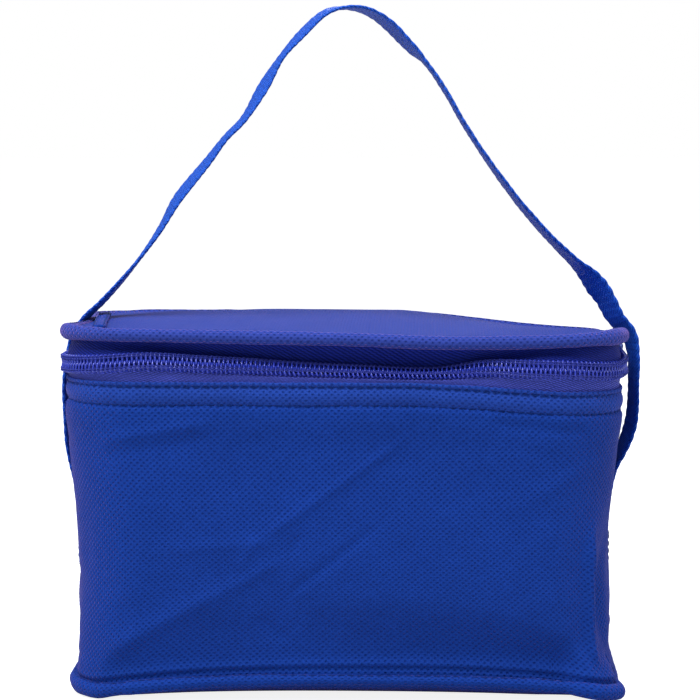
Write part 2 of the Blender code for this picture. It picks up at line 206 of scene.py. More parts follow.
def frameAlong(points, reference):
    # two side vectors for a swept shape; the first stays as near the reference as it can
    step = np.gradient(points, axis=-2)
    step = step / np.linalg.norm(step, axis=-1, keepdims=True)
    sideA = reference - (reference * step).sum(-1, keepdims=True) * step
    sideA = sideA / np.linalg.norm(sideA, axis=-1, keepdims=True)
    return sideA, np.cross(step, sideA)


def stitches(name, line, outwards, length, gap, radius, sink=0.35):
    # a row of thread stitches along a line of points, each one dipping into the cloth at both ends
    along = lengthsAlong(line)
    count = int(along[-1] // (length + gap))
    pitch = along[-1] / count
    share = np.linspace(0.0, 1.0, 6)
    s = (np.arange(count)[:, None] + gap / pitch / 2 + share * (1 - gap / pitch)) * pitch
    centres = np.stack([np.interp(s, along, line[:, i]) for i in range(3)], -1)
    up = np.stack([np.interp(s, along, outwards[:, i]) for i in range(3)], -1)
    up /= np.linalg.norm(up, axis=-1, keepdims=True)
    lift = radius * (np.sin(share * math.pi) ** 0.6 - sink)
    centres = centres + up * lift[None, :, None]
    sideA, sideB = frameAlong(centres, up)
    thin = radius * (0.55 + 0.45 * np.sin(share * math.pi) ** 0.5)
    return tubes(name, centres, sideA, sideB, np.broadcast_to(thin, s.shape), sides=6)


def stitchesRound(name, line, outwards, length, gap, radius):
    # a row of stitches along a line that comes back to its start
    line, outwards = np.vstack((line, line[:1])), np.vstack((outwards, outwards[:1]))
    return stitches(name, line, outwards, length, gap, radius)


# cloth effects shared by the materials


def newGroup(name, inputs, outputs):
    group = bpy.data.node_groups.new(name, "ShaderNodeTree")
    for socketName, kind, value in inputs:
        socket = group.interface.new_socket(socketName, in_out="INPUT", socket_type=kind)
        if value is not None:
            socket.default_value = value
    for socketName, kind in outputs:
        group.interface.new_socket(socketName, in_out="OUTPUT", socket_type=kind)
    return group, group.nodes.new("NodeGroupInput"), group.nodes.new("NodeGroupOutput")


def put(tree, kind, inputs=(), **settings):
    # a node with its settings; inputs are (socket, value or output to link)
    node = tree.nodes.new(kind)
    for key, value in settings.items():
        setattr(node, key, value)
    for socket, value in inputs:
        if isinstance(value, bpy.types.NodeSocket):
            tree.links.new(value, node.inputs[socket])
        else:
            node.inputs[socket].default_value = value
    return node


def maths(tree, operation, a, b=None, c=None):
    pairs = [(i, v) for i, v in enumerate((a, b, c)) if v is not None]
    return put(tree, "ShaderNodeMath", pairs, operation=operation).outputs[0]


def softEdge(tree, value, low, high):
    node = put(tree, "ShaderNodeMapRange", [("Value", value), ("From Min", low), ("From Max", high)])
    node.interpolation_type = "SMOOTHSTEP"
    return node.outputs["Result"]


def blendColour(tree, factor, a, b):
    node = tree.nodes.new("ShaderNodeMix")
    node.data_type = "RGBA"
    for index, value in ((0, factor), (6, a), (7, b)):
        if isinstance(value, bpy.types.NodeSocket):
            tree.links.new(value, node.inputs[index])
        else:
            node.inputs[index].default_value = value
    return node.outputs[2]


def noiseOf(tree, vector, scale, detail=2.0, roughness=0.5):
    return put(tree, "ShaderNodeTexNoise",
               [("Vector", vector), ("Scale", scale), ("Detail", detail), ("Roughness", roughness)])


def makeBondedCloth():
    # spun-bonded cloth: a staggered net of small fused dots between soft fibres
    group, given, result = newGroup(
        "bondedCloth",
        [("Place", "NodeSocketVector", None), ("Dot spacing", "NodeSocketFloat", 0.00236),
         ("Row spacing", "NodeSocketFloat", 0.00108), ("Unevenness", "NodeSocketFloat", 0.00036)],
        [("Dots", "NodeSocketFloat"), ("Fibres", "NodeSocketFloat"), ("Height", "NodeSocketFloat")])
    place = given.outputs["Place"]
    wander = noiseOf(group, place, 420.0, 1.0)
    centred = put(group, "ShaderNodeVectorMath", [(0, wander.outputs["Color"]), (1, (0.5, 0.5, 0.5))],
                  operation="SUBTRACT").outputs[0]
    moved = put(group, "ShaderNodeVectorMath", [(0, centred), ("Scale", given.outputs["Unevenness"])],
                operation="SCALE").outputs[0]
    shifted = put(group, "ShaderNodeVectorMath", [(0, place), (1, moved)], operation="ADD").outputs[0]
    axes = put(group, "ShaderNodeSeparateXYZ", [(0, shifted)])
    dotsAcross = maths(group, "DIVIDE", axes.outputs[0], given.outputs["Dot spacing"])
    acrossTurn = maths(group, "MULTIPLY", dotsAcross, 2 * math.pi)
    rowsUp = maths(group, "DIVIDE", axes.outputs[1], given.outputs["Row spacing"])
    upTurn = maths(group, "MULTIPLY", rowsUp, math.pi)
    net = maths(group, "MULTIPLY", maths(group, "COSINE", acrossTurn), maths(group, "COSINE", upTurn))
    pressed = softEdge(group, noiseOf(group, place, 260.0, 2.0).outputs["Fac"], 0.25, 0.62)
    dots = maths(group, "MULTIPLY", softEdge(group, net, 0.0, 0.95),
                 maths(group, "MULTIPLY_ADD", pressed, 0.35, 0.65))
    fibres = noiseOf(group, put(group, "ShaderNodeVectorMath", [(0, place), (1, (1.0, 0.45, 1.0))],
                                operation="MULTIPLY").outputs[0], 3600.0, 3.0, 0.65).outputs["Fac"]
    height = maths(group, "MULTIPLY_ADD", dots, -1.0, maths(group, "MULTIPLY", fibres, 0.35))
    for name, value in (("Dots", dots), ("Fibres", fibres), ("Height", height)):
        group.links.new(value, result.inputs[name])
    return group


def makeWovenRibs():
    # woven threads: slanting or straight ribs in two directions, each crossed by fine yarn
    group, given, result = newGroup(
        "wovenRibs",
        [("Place", "NodeSocketVector", None), ("Rib spacing", "NodeSocketFloat", 0.0006),
         ("Yarn spacing", "NodeSocketFloat", 0.0004), ("Slant", "NodeSocketFloat", 1.0)],
        [("Ribs", "NodeSocketFloat"), ("Height", "NodeSocketFloat")])
    axes = put(group, "ShaderNodeSeparateXYZ", [(0, given.outputs["Place"])])
    slanting = maths(group, "MULTIPLY_ADD", axes.outputs[1], given.outputs["Slant"], axes.outputs[0])
    wander = noiseOf(group, given.outputs["Place"], 900.0, 2.0)
    uneven = maths(group, "MULTIPLY", maths(group, "SUBTRACT", wander.outputs["Fac"], 0.5), 0.9)
    ribTurn = maths(group, "MULTIPLY_ADD", maths(group, "DIVIDE", slanting, given.outputs["Rib spacing"]),
                    2 * math.pi, uneven)
    ribs = maths(group, "MULTIPLY_ADD", maths(group, "SINE", ribTurn), 0.5, 0.5)
    yarnsUp = maths(group, "DIVIDE", axes.outputs[1], given.outputs["Yarn spacing"])
    yarnTurn = maths(group, "MULTIPLY_ADD", yarnsUp, 2 * math.pi, uneven)
    yarn = maths(group, "MULTIPLY_ADD", maths(group, "SINE", yarnTurn), 0.5, 0.5)
    height = maths(group, "MULTIPLY_ADD", yarn, 0.35, maths(group, "MULTIPLY", ribs, 0.65))
    for name, value in (("Ribs", ribs), ("Height", height)):
        group.links.new(value, result.inputs[name])
    return group


def makeHandledTint():
    # colour made a little lighter and darker in clouds, and paler through a mask: real wear on the slider's
    # paint, and painted glints of light on the shell's loose fibres
    group, given, result = newGroup(
        "handledTint",
        [("Place", "NodeSocketVector", None), ("Colour", "NodeSocketColor", (0.5, 0.5, 0.5, 1.0)),
         ("Cloud size", "NodeSocketFloat", 30.0), ("Cloud strength", "NodeSocketFloat", 0.2),
         ("Wear and glint amount", "NodeSocketFloat", 0.0), ("Wear and glint colour", "NodeSocketColor", (0.6, 0.6, 0.6, 1.0))],
        [("Colour", "NodeSocketColor")])
    clouds = noiseOf(group, given.outputs["Place"], given.outputs["Cloud size"], 4.0, 0.62).outputs["Fac"]
    spread = maths(group, "MULTIPLY", maths(group, "SUBTRACT", clouds, 0.5), given.outputs["Cloud strength"])
    gain = maths(group, "ADD", maths(group, "MULTIPLY", spread, 2.0), 1.0)
    tinted = put(group, "ShaderNodeVectorMath", [(0, given.outputs["Colour"]), ("Scale", gain)],
                 operation="SCALE")
    wearAndGlint = blendColour(group, given.outputs["Wear and glint amount"], tinted.outputs[0], given.outputs["Wear and glint colour"])
    group.links.new(wearAndGlint, result.inputs["Colour"])
    return group


bondedCloth = makeBondedCloth()
wovenRibs = makeWovenRibs()
handledTint = makeHandledTint()


def startMaterial(name, uvName="clothMetres"):
    material = bpy.data.materials.new(name)
    material.use_nodes = True
    tree = material.node_tree
    shader = tree.nodes["Principled BSDF"]
    if uvName is None:
        place = tree.nodes.new("ShaderNodeTexCoord").outputs["Object"]
    else:
        place = put(tree, "ShaderNodeUVMap", uv_map=uvName).outputs["UV"]
    return material, tree, shader, place


def addGroup(tree, group, inputs):
    node = tree.nodes.new("ShaderNodeGroup")
    node.node_tree = group
    for socket, value in inputs:
        if isinstance(value, bpy.types.NodeSocket):
            tree.links.new(value, node.inputs[socket])
        else:
            node.inputs[socket].default_value = value
    return node


def addBump(tree, shader, height, distance):
    bump = put(tree, "ShaderNodeBump", [("Height", height), ("Distance", distance), ("Strength", 1.0)])
    tree.links.new(bump.outputs["Normal"], shader.inputs["Normal"])


def setShader(shader, **values):
    names = {"roughness": "Roughness", "metallic": "Metallic", "specular": "Specular IOR Level",
             "sheen": "Sheen Weight", "sheenRoughness": "Sheen Roughness", "sheenTint": "Sheen Tint",
             "specularTint": "Specular Tint", "coat": "Coat Weight", "coatRoughness": "Coat Roughness"}
    for key, value in values.items():
        shader.inputs[names[key]].default_value = value


shellCloth = {
    "net": (0.0075, 0.0435, 0.3020, 1.0),
    # the hem and roll nets are lighter copies of the net: painted light where these parts face the top lamp
    "hemNetPaintedLight": (0.0160, 0.0580, 0.3600, 1.0),
    "rollNetPaintedLight": (0.0320, 0.0590, 0.3450, 1.0),
    "dot": (0.0008, 0.0105, 0.1450, 1.0),
    # painted glints: paler flecks where loose fibres catch the light
    "wearAndGlint": (0.0200, 0.0820, 0.4300, 1.0),
    "cloudStrength": 0.14,
    "bump": 0.00042,
}


def makeShellMaterial(name, net, dotStrength, sheen):
    material, tree, shader, place = startMaterial(name)
    cloth = addGroup(tree, bondedCloth, [("Place", place)])
    tint = addGroup(tree, handledTint, [("Place", place), ("Colour", shellCloth[net]),
                                        ("Cloud size", 28.0), ("Cloud strength", shellCloth["cloudStrength"]),
                                        ("Wear and glint colour", shellCloth["wearAndGlint"])])
    # the fuzz mask paints glints of light on loose fibres in a paler colour
    fuzz = softEdge(tree, cloth.outputs["Fibres"], 0.52, 0.80)
    tree.links.new(maths(tree, "MULTIPLY", fuzz, 0.50), tint.inputs["Wear and glint amount"])
    dotted = blendColour(tree, maths(tree, "MULTIPLY", cloth.outputs["Dots"], dotStrength),
                         tint.outputs["Colour"], shellCloth["dot"])
    tree.links.new(dotted, shader.inputs["Base Color"])
    rough = maths(tree, "MULTIPLY_ADD", cloth.outputs["Dots"], -0.20, 0.72)
    tree.links.new(rough, shader.inputs["Roughness"])
    addBump(tree, shader, cloth.outputs["Height"], shellCloth["bump"])
    setShader(shader, specular=0.05, sheen=sheen, sheenRoughness=0.30, sheenTint=(0.96, 0.46, 1.0, 1.0))
    return material


def makeTapeMaterial(name, dark, light):
    material, tree, shader, place = startMaterial(name)
    weave = addGroup(tree, wovenRibs, [("Place", place), ("Rib spacing", 0.00250), ("Yarn spacing", 0.00070),
                                       ("Slant", 2.1)])
    tint = addGroup(tree, handledTint, [("Place", place), ("Cloud size", 60.0), ("Cloud strength", 0.12)])
    shade = softEdge(tree, weave.outputs["Height"], 0.22, 0.78)
    tree.links.new(blendColour(tree, shade, dark, light), tint.inputs["Colour"])
    tree.links.new(tint.outputs["Colour"], shader.inputs["Base Color"])
    addBump(tree, shader, weave.outputs["Height"], 0.00030)
    setShader(shader, roughness=0.62, specular=0.14, sheen=0.08, sheenRoughness=0.3,
              sheenTint=(0.9, 0.6, 1.0, 1.0))
    return material


def makeCoilMaterial():
    material, tree, shader, place = startMaterial("zipCoilNylon")
    grain = noiseOf(tree, place, 1500.0, 3.0, 0.6).outputs["Fac"]
    tint = addGroup(tree, handledTint, [("Place", place), ("Colour", (0.028, 0.052, 0.500, 1.0)),
                                        ("Cloud size", 120.0), ("Cloud strength", 0.18)])
    tree.links.new(tint.outputs["Colour"], shader.inputs["Base Color"])
    tree.links.new(maths(tree, "MULTIPLY_ADD", grain, 0.16, 0.20), shader.inputs["Roughness"])
    addBump(tree, shader, grain, 0.00003)
    setShader(shader, specular=0.75)
    return material


def makeThreadMaterial(name, colour):
    material, tree, shader, place = startMaterial(name)
    ply = addGroup(tree, wovenRibs, [("Place", place), ("Rib spacing", 0.00045), ("Yarn spacing", 0.0002),
                                     ("Slant", 1.2)])
    dark = tuple(c * 0.45 for c in colour[:3]) + (1.0,)
    tree.links.new(blendColour(tree, ply.outputs["Ribs"], dark, colour), shader.inputs["Base Color"])
    addBump(tree, shader, ply.outputs["Height"], 0.00006)
    setShader(shader, roughness=0.6, specular=0.12)
    return material


def makeWebbingMaterial():
    material, tree, shader, place = startMaterial("strapWebbing")
    # yarns run in short slanting rows that turn back every few millimetres across the width
    axes = put(tree, "ShaderNodeSeparateXYZ", [(0, place)])
    turned = maths(tree, "PINGPONG", axes.outputs[1], 0.0030)
    rows = put(tree, "ShaderNodeCombineXYZ", [(0, axes.outputs[0]), (1, turned)]).outputs[0]
    weave = addGroup(tree, wovenRibs, [("Place", rows), ("Rib spacing", 0.00145), ("Yarn spacing", 0.00100),
                                       ("Slant", 0.8)])
    dark, light = (0.002, 0.034, 0.320, 1.0), (0.020, 0.125, 0.680, 1.0)
    tint = addGroup(tree, handledTint, [("Place", place), ("Cloud size", 70.0), ("Cloud strength", 0.12)])
    tree.links.new(blendColour(tree, weave.outputs["Height"], dark, light), tint.inputs["Colour"])
    tree.links.new(tint.outputs["Colour"], shader.inputs["Base Color"])
    addBump(tree, shader, weave.outputs["Height"], 0.00024)
    setShader(shader, roughness=0.50, specular=0.16, specularTint=(0.7, 0.85, 1.0, 1.0))
    return material


def makeFoilMaterial():
    material, tree, shader, place = startMaterial("foilLining")
    folds = noiseOf(tree, place, 130.0, 5.0, 0.62).outputs["Fac"]
    creases = put(tree, "ShaderNodeTexVoronoi", [("Vector", place), ("Scale", 160.0)],
                  feature="DISTANCE_TO_EDGE").outputs["Distance"]
    sharp = softEdge(tree, creases, 0.0, 0.22)
    height = maths(tree, "MULTIPLY_ADD", sharp, 0.45, folds)
    tint = addGroup(tree, handledTint, [("Place", place), ("Colour", (0.66, 0.67, 0.69, 1.0)),
                                        ("Cloud size", 40.0), ("Cloud strength", 0.08)])
    tree.links.new(tint.outputs["Colour"], shader.inputs["Base Color"])
    tree.links.new(maths(tree, "MULTIPLY_ADD", folds, 0.25, 0.18), shader.inputs["Roughness"])
    addBump(tree, shader, height, 0.00060)
    setShader(shader, metallic=0.88, specular=0.5)
    return material


def makeFoamMaterial():
    material, tree, shader, place = startMaterial("laminateFoam")
    cells = put(tree, "ShaderNodeTexVoronoi", [("Vector", place), ("Scale", 1500.0)]).outputs["Distance"]
    tree.links.new(blendColour(tree, cells, (0.62, 0.62, 0.60, 1.0), (0.88, 0.88, 0.86, 1.0)),
                   shader.inputs["Base Color"])
    addBump(tree, shader, cells, 0.0002)
    setShader(shader, roughness=0.9, specular=0.2)
    return material


def makeSliderMaterial():
    material, tree, shader, place = startMaterial("sliderPaint", uvName=None)
    wear = noiseOf(tree, place, 700.0, 4.0, 0.6).outputs["Fac"]
    worn = softEdge(tree, wear, 0.62, 0.72)
    tint = addGroup(tree, handledTint, [("Place", place), ("Colour", (0.014, 0.042, 0.260, 1.0)),
                                        ("Cloud size", 300.0), ("Cloud strength", 0.10),
                                        ("Wear and glint amount", worn), ("Wear and glint colour", (0.070, 0.100, 0.330, 1.0))])
    tree.links.new(tint.outputs["Colour"], shader.inputs["Base Color"])
    tree.links.new(maths(tree, "MULTIPLY_ADD", worn, 0.18, 0.28), shader.inputs["Roughness"])
    addBump(tree, shader, wear, 0.00004)
    setShader(shader, metallic=0.25, specular=0.5, coat=0.35, coatRoughness=0.2)
    return material


materials = {
    "shell": makeShellMaterial("shellBondedCloth", "net", 0.50, 0.13),
    # lit copies of the shell cloth: painted light on the hem and the lid's roll
    "shellHemPaintedLight": makeShellMaterial("hemBondedClothPaintedLight", "hemNetPaintedLight", 0.52, 0.13),
    "shellRollPaintedLight": makeShellMaterial("rollBondedClothPaintedLight", "rollNetPaintedLight", 0.50, 0.34),
    "tape": makeTapeMaterial("zipTapeTwill", (0.020, 0.036, 0.240, 1.0), (0.100, 0.130, 0.720, 1.0)),
    # darker copy of the tape twill: painted shade under the lid's roll
    "tapeAbovePaintedShade": makeTapeMaterial("lidTapeTwillPaintedShade", (0.001, 0.008, 0.130, 1.0), (0.010, 0.026, 0.330, 1.0)),
    "coil": makeCoilMaterial(),
    "thread": makeThreadMaterial("sewingThread", (0.006, 0.036, 0.250, 1.0)),
    "coilThread": makeThreadMaterial("coilThread", (0.050, 0.070, 0.460, 1.0)),
    "webbing": makeWebbingMaterial(),
    "foil": makeFoilMaterial(),
    "foam": makeFoamMaterial(),
    "slider": makeSliderMaterial(),
}
print("materials made")


def dress(piece, material, body=None):
    piece.data.materials.clear()
    piece.data.materials.append(materials[material])
    if body:
        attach(piece, body)
    return piece


# the wall and the layers behind it

wall = {
    "rows": 96,
    "columns": 460,
    "bottom": 0.0028,
    "top": 0.1135,
    "thickness": 0.0006,
    "leftBulge": 0.0045,
    "rightBulge": 0.0008,
    "frontBulge": 0.0010,
    "backBulge": 0.0022,
}

wallHalfWidth = [(0.006, 0.1008), (0.011, 0.1009), (0.015, 0.1001), (0.021, 0.0995), (0.033, 0.0988),
                 (0.049, 0.0984), (0.060, 0.0987), (0.072, 0.0994), (0.083, 0.1008), (0.094, 0.1020),
                 (0.105, 0.1022), (0.118, 0.1020)]
wallHalfDepth = [(0.006, 0.0670), (0.015, 0.0676), (0.030, 0.0684), (0.060, 0.0688), (0.090, 0.0686),
                 (0.118, 0.0685)]
wallCorner = [(0.006, 0.0250), (0.030, 0.0255), (0.070, 0.0270), (0.118, 0.0280)]

hem = {"lower": 0.1100, "columns": 560, "threadLength": 0.0026, "threadGap": 0.0009, "threadRadius": 0.00018}

# soft folds on the front: x and z of both ends, half width, height of the fold
frontFolds = [
    (-0.0300, 0.0600, 0.0220, 0.0970, 0.0013, 0.00048),
    (-0.0380, 0.0480, -0.0300, 0.0600, 0.0020, 0.00030),
    (-0.0190, 0.0370, 0.0120, 0.0650, 0.0014, -0.00050),
    (-0.0860, 0.0160, -0.0400, 0.0400, 0.0040, 0.00080),
    (-0.0400, 0.0400, -0.0240, 0.0500, 0.0026, 0.00055),
    (-0.0930, 0.0955, -0.0500, 0.1030, 0.0022, 0.00050),
    (-0.0900, 0.0900, -0.0480, 0.0985, 0.0022, -0.00025),
    (-0.0620, 0.0560, -0.0250, 0.0590, 0.0024, 0.00035),
    (-0.0180, 0.0540, -0.0160, 0.0620, 0.0016, -0.00050),
    (-0.0300, 0.0270, -0.0200, 0.0170, 0.0018, -0.00040),
    (0.0620, 0.0720, 0.0900, 0.0880, 0.0030, 0.00035),
    (0.0560, 0.1035, 0.0930, 0.0995, 0.0020, -0.00060),
    (0.0905, 0.0620, 0.0935, 0.0150, 0.0024, 0.00110),
]
backFolds = [
    (-0.0800, 0.0180, -0.0200, 0.0700, 0.0030, 0.00080),
    (0.0250, 0.0300, 0.0750, 0.0880, 0.0026, 0.00060),
    (-0.0600, 0.0950, 0.0100, 0.0880, 0.0030, -0.00060),
    (0.0100, 0.0240, 0.0650, 0.0180, 0.0034, 0.00070),
    (-0.0750, 0.0550, -0.0450, 0.0930, 0.0026, 0.00050),
]
sideFolds = [  # y and z of both ends
    (-0.0300, 0.0200, 0.0150, 0.0560, 0.0030, 0.00080),
    (0.0100, 0.0900, 0.0450, 0.0300, 0.0030, 0.00060),
    (-0.0350, 0.0880, -0.0050, 0.0740, 0.0028, -0.00070),
    (-0.0100, 0.0160, 0.0380, 0.0220, 0.0036, 0.00080),
]


def foldHeight(a, z, folds):
    total = np.zeros(np.broadcast(a, z).shape)
    for a1, z1, a2, z2, width, height in folds:
        run, rise = a2 - a1, z2 - z1
        length = math.hypot(run, rise)
        share = ((a - a1) * run + (z - z1) * rise) / length**2
        away = ((z - z1) * run - (a - a1) * rise) / length
        ends = smoothStep(share, -0.12, 0.18) * smoothStep(-share, -1.12, -0.82)
        total = total + height * ends / (1 + (away / width) ** 2) * np.exp(-((away / (3.2 * width)) ** 2))
    return total


# how far the bottom seam lifts off the floor between the corners
arch = {"front": 0.0068, "side": 0.0030, "back": 0.0052}


def archAt(t):
    x, y, nx, ny = mouthOutline(t)
    frontLift = arch["front"] * np.clip(1 - np.abs((x - 0.010) / 0.105) ** 2.4, 0, 1)
    backLift = arch["back"] * np.clip(1 - np.abs(x / 0.095) ** 2.2, 0, 1)
    sideLift = arch["side"] * np.clip(1 - np.abs(y / 0.062) ** 2.0, 0, 1)
    front = smoothStep(-ny, 0.35, 1.0)
    back = smoothStep(ny, 0.35, 1.0)
    return frontLift * front + backLift * back + sideLift * (1 - front) * (1 - back)


def mouthDip(t):
    # the hem runs downhill towards the right front corner
    x, y, nx, ny = mouthOutline(t)
    front = smoothStep(x, 0.020, 0.100) * (ny < -0.001)
    side = (1 - smoothStep(y, -0.045, 0.030)) * (nx > 0.999)
    return 0.0036 * np.maximum(front, side)


def hemSeam(t, level):
    return level - mouthDip(t)


def tuckLine(x):
    # below this height the front turns in towards the bottom seam
    return curveThrough(x, [(-0.100, 0.0120), (-0.085, 0.0165), (-0.040, 0.0385), (-0.024, 0.0440),
                            (-0.008, 0.0340), (0.020, 0.0325), (0.055, 0.0275), (0.080, 0.0200),
                            (0.100, 0.0120)])


def wallSurface(t, z, inwards=0.0, detail=True):
    # the wall's outer face at height z, or a layer behind it
    t, z = np.broadcast_arrays(t, z)
    halfWidth = curveThrough(z, wallHalfWidth)
    halfDepth = curveThrough(z, wallHalfDepth)
    x, y, nx, ny = outline(t, halfWidth, halfDepth, curveThrough(z, wallCorner))
    middle = np.clip((z - 0.006) / 0.104, 0, 1)
    rise = np.sin(np.pi * middle) ** 0.75
    sideShape = np.cos(np.clip(np.abs(y) / 0.058, 0, 1) * np.pi / 2) ** 1.3
    faceShape = np.cos(np.clip(np.abs(x) / 0.092, 0, 1) * np.pi / 2) ** 0.8
    out = np.where(nx < 0, wall["leftBulge"], wall["rightBulge"]) * sideShape * rise * np.abs(nx)
    out = out + np.where(ny < 0, wall["frontBulge"], wall["backBulge"]) * faceShape * rise * np.abs(ny)
    tuckTop = np.where(ny < -0.3, tuckLine(x), 0.026 + 0.006 * np.cos(np.pi * y / 0.06))
    tuckDepth = np.where(ny < -0.3, 0.0016 + 0.0022 * smoothStep(x, -0.02, 0.05), 0.0010)
    tuck = 1 - smoothStep(z, 0.0115, np.maximum(tuckTop, 0.0125) + 0.004)
    tuck = tuck * (0.60 + 0.40 * smoothStep(z, 0.0050, 0.0120))
    out = out - tuckDepth * tuck * smoothStep(np.maximum(np.abs(nx), np.abs(ny)), 0.85, 1.0)
    # pinched right front corner: an upright fold with a hollow behind it
    past = t * aroundLength - runEnds[5]
    low = smoothStep(z, 0.010, 0.018) * (1 - smoothStep(z, 0.052, 0.070))
    out = out + 0.0030 * low * hump(past, 0.0215 + 0.0600 * (z - 0.04), 0.0026)
    out = out - 0.0046 * hump(past, 0.0345, 0.0075) * hump(z, 0.036, 0.021)
    out = out + 0.0046 * (1 - smoothStep(z, 0.005, 0.021)) * smoothStep(np.minimum(nx, -ny), 0.10, 0.60)
    dentLeft = np.where(nx < -0.5, y + 0.040, 9.0)
    out = out - 0.0016 * np.exp(-((dentLeft / 0.009) ** 2) - ((z - 0.030) / 0.020) ** 2)
    if detail:
        front, back = (ny < -0.7), (ny > 0.7)
        folds = np.where(back, foldHeight(x, z, backFolds), 0.0)
        folds = np.where(front, foldHeight(x, z, frontFolds), folds)
        mirror = np.where(nx < 0, y, -y + 0.008)
        folds = np.where(np.abs(nx) >= 0.7, foldHeight(mirror, z, sideFolds), folds)
        fine = 1.7 * folds * smoothStep(np.maximum(np.abs(nx), np.abs(ny)), 0.72, 0.99)
        fine = fine + 0.00060 * clothNoise(x, y, z, 0.030, 1) + 0.00030 * clothNoise(x, y, z, 0.012, 2)
        fine = fine + 0.00011 * clothNoise(x, y, z, 0.005, 3)
        fine = fine + 0.00060 * hump(z, 0.0077, 0.0009) - 0.00060 * hump(z, 0.0061, 0.0008)
        seam = np.where(ny > 0.9, x, 9.0)
        fine = fine - 0.0009 * np.exp(-((seam / 0.0013) ** 2))
        fine = fine + 0.0004 * np.exp(-(((seam - 0.0030) / 0.0018) ** 2))
        out = out + np.where(fine < 0, 0.0013 * np.tanh(fine / 0.0013), fine)
    lower = hemSeam(t, hem["lower"])
    puff = 0.0012 * smoothStep(z, lower - 0.016, lower - 0.0035)
    puff = puff * (1 - smoothStep(z, lower - 0.0022, lower - 0.0002))
    behind = 0.0016 * smoothStep(z, lower - 0.0004, lower + 0.0012)
    out = out + puff + 0.00055 * smoothStep(z, lower - 0.0030, lower - 0.0002) - behind
    lift = archAt(t) * (1 - smoothStep(z, 0.008, 0.075))
    return np.stack((x + nx * (out - inwards), y + ny * (out - inwards), z + lift), -1)


def makeOuterWall():
    rows, columns = wall["rows"], wall["columns"]
    share = np.linspace(0, 1, rows)
    z = wall["bottom"] + (wall["top"] - wall["bottom"]) * (share - 0.045 * np.sin(2 * np.pi * share))
    t = wholeTurn(columns)
    points = wallSurface(t[None, :], z[:, None])
    dip = mouthDip(t)[None, :] * smoothStep(z[:, None], 0.1085, 0.1135)
    points[..., 2] -= dip
    piece = gridPiece("outerWall", points, turnUv(columns, z), closeColumns=True)
    thicken(piece, wall["thickness"])
    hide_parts("outer_wall")
    return dress(piece, "shell", "bag")


def closedLayer(name, outerOffset, innerOffset, low, high, rows, columns, foilNoise=0.0, squeeze=0.3):
    # a layer behind the wall, squeezed thin where the hem holds it
    z = np.linspace(low, high, rows)
    t = wholeTurn(columns)
    press = 1 - (1 - squeeze) * smoothStep(z, 0.100, 0.1150)[:, None]
    outer = wallSurface(t[None, :], z[:, None], outerOffset * press, detail=False)
    inner = wallSurface(t[None, :], z[:, None], innerOffset * press, detail=False)
    if foilNoise:
        wrinkle = foilNoise * (clothNoise(outer[..., 0], outer[..., 1], outer[..., 2], 0.010, 5)
                               + 0.5 * clothNoise(outer[..., 0], outer[..., 1], outer[..., 2], 0.0045, 6))
        nx, ny = outline(t, 1, 1, 0.5)[2:]
        push = np.stack((nx, ny, 0 * nx), -1)[None] * wrinkle[..., None]
        outer, inner = outer - push, inner - push
    points = np.concatenate((outer, inner[::-1]))
    up = np.concatenate((z, [z[-1] + 0.001], 2 * z[-1] - z[::-1][1:] + 0.001, [2 * z[-1] - z[0] + 0.002]))
    return gridPiece(name, points, turnUv(columns, up), closeColumns=True, closeRows=True)


def makeWallLayers():
    foam = closedLayer("wallFoam", 0.0020, 0.0039, 0.006, 0.1135, 40, 300)
    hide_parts("wall_foam")
    dress(foam, "foam", "bag")
    lining = closedLayer("wallLining", 0.0043, 0.0046, 0.0045, 0.1165, 60, 300, foilNoise=0.0007,
                         squeeze=0.45)
    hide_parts("wall_lining")
    dress(lining, "foil", "bag")
    return lining


def makeBackSeam():
    # inside tape over the wall's upright seam, and the row of stitches that shows outside beside it
    z = np.linspace(0.006, 0.1145, 40)
    across = np.linspace(-0.008, 0.008, 9)
    halfDepth = curveThrough(z, wallHalfDepth)
    t = (-across / aroundLength) % 1.0
    back = wallSurface(t[None, :], z[:, None], 0.0056, detail=False)
    back[..., 1] -= 0.0004 + 0.0002 * np.abs(clothNoise(back[..., 0], back[..., 1], back[..., 2], 0.012, 8))
    tape = gridPiece("backSeamTape", back[:, ::-1], uvGrid(across, z))
    thicken(tape, 0.0006, 0.0)
    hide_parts("back_seam_tape")
    dress(tape, "shell", "bag")
    height = np.linspace(0.016, 0.106, 90)
    line = wallSurface(np.full(90, 1 - 0.0026 / aroundLength), height)
    line[:, 1] += 0.0001
    row = stitches("backSeamThread", line, np.tile((0.0, 1.0, 0.0), (90, 1)), 0.0026, 0.0008, 0.00022)
    dress(row, "thread", "bag")


outerWall = makeOuterWall()
wallLining = makeWallLayers()
makeBackSeam()
print("wall made")

# bottom seam roll and bottom layers

bottomRoll = {
    "halfWidth": 0.1004,
    "halfDepth": 0.0668,
    "corner": 0.0240,
    "radius": 0.0026,
    "sides": 18,
    "columns": 560,
}


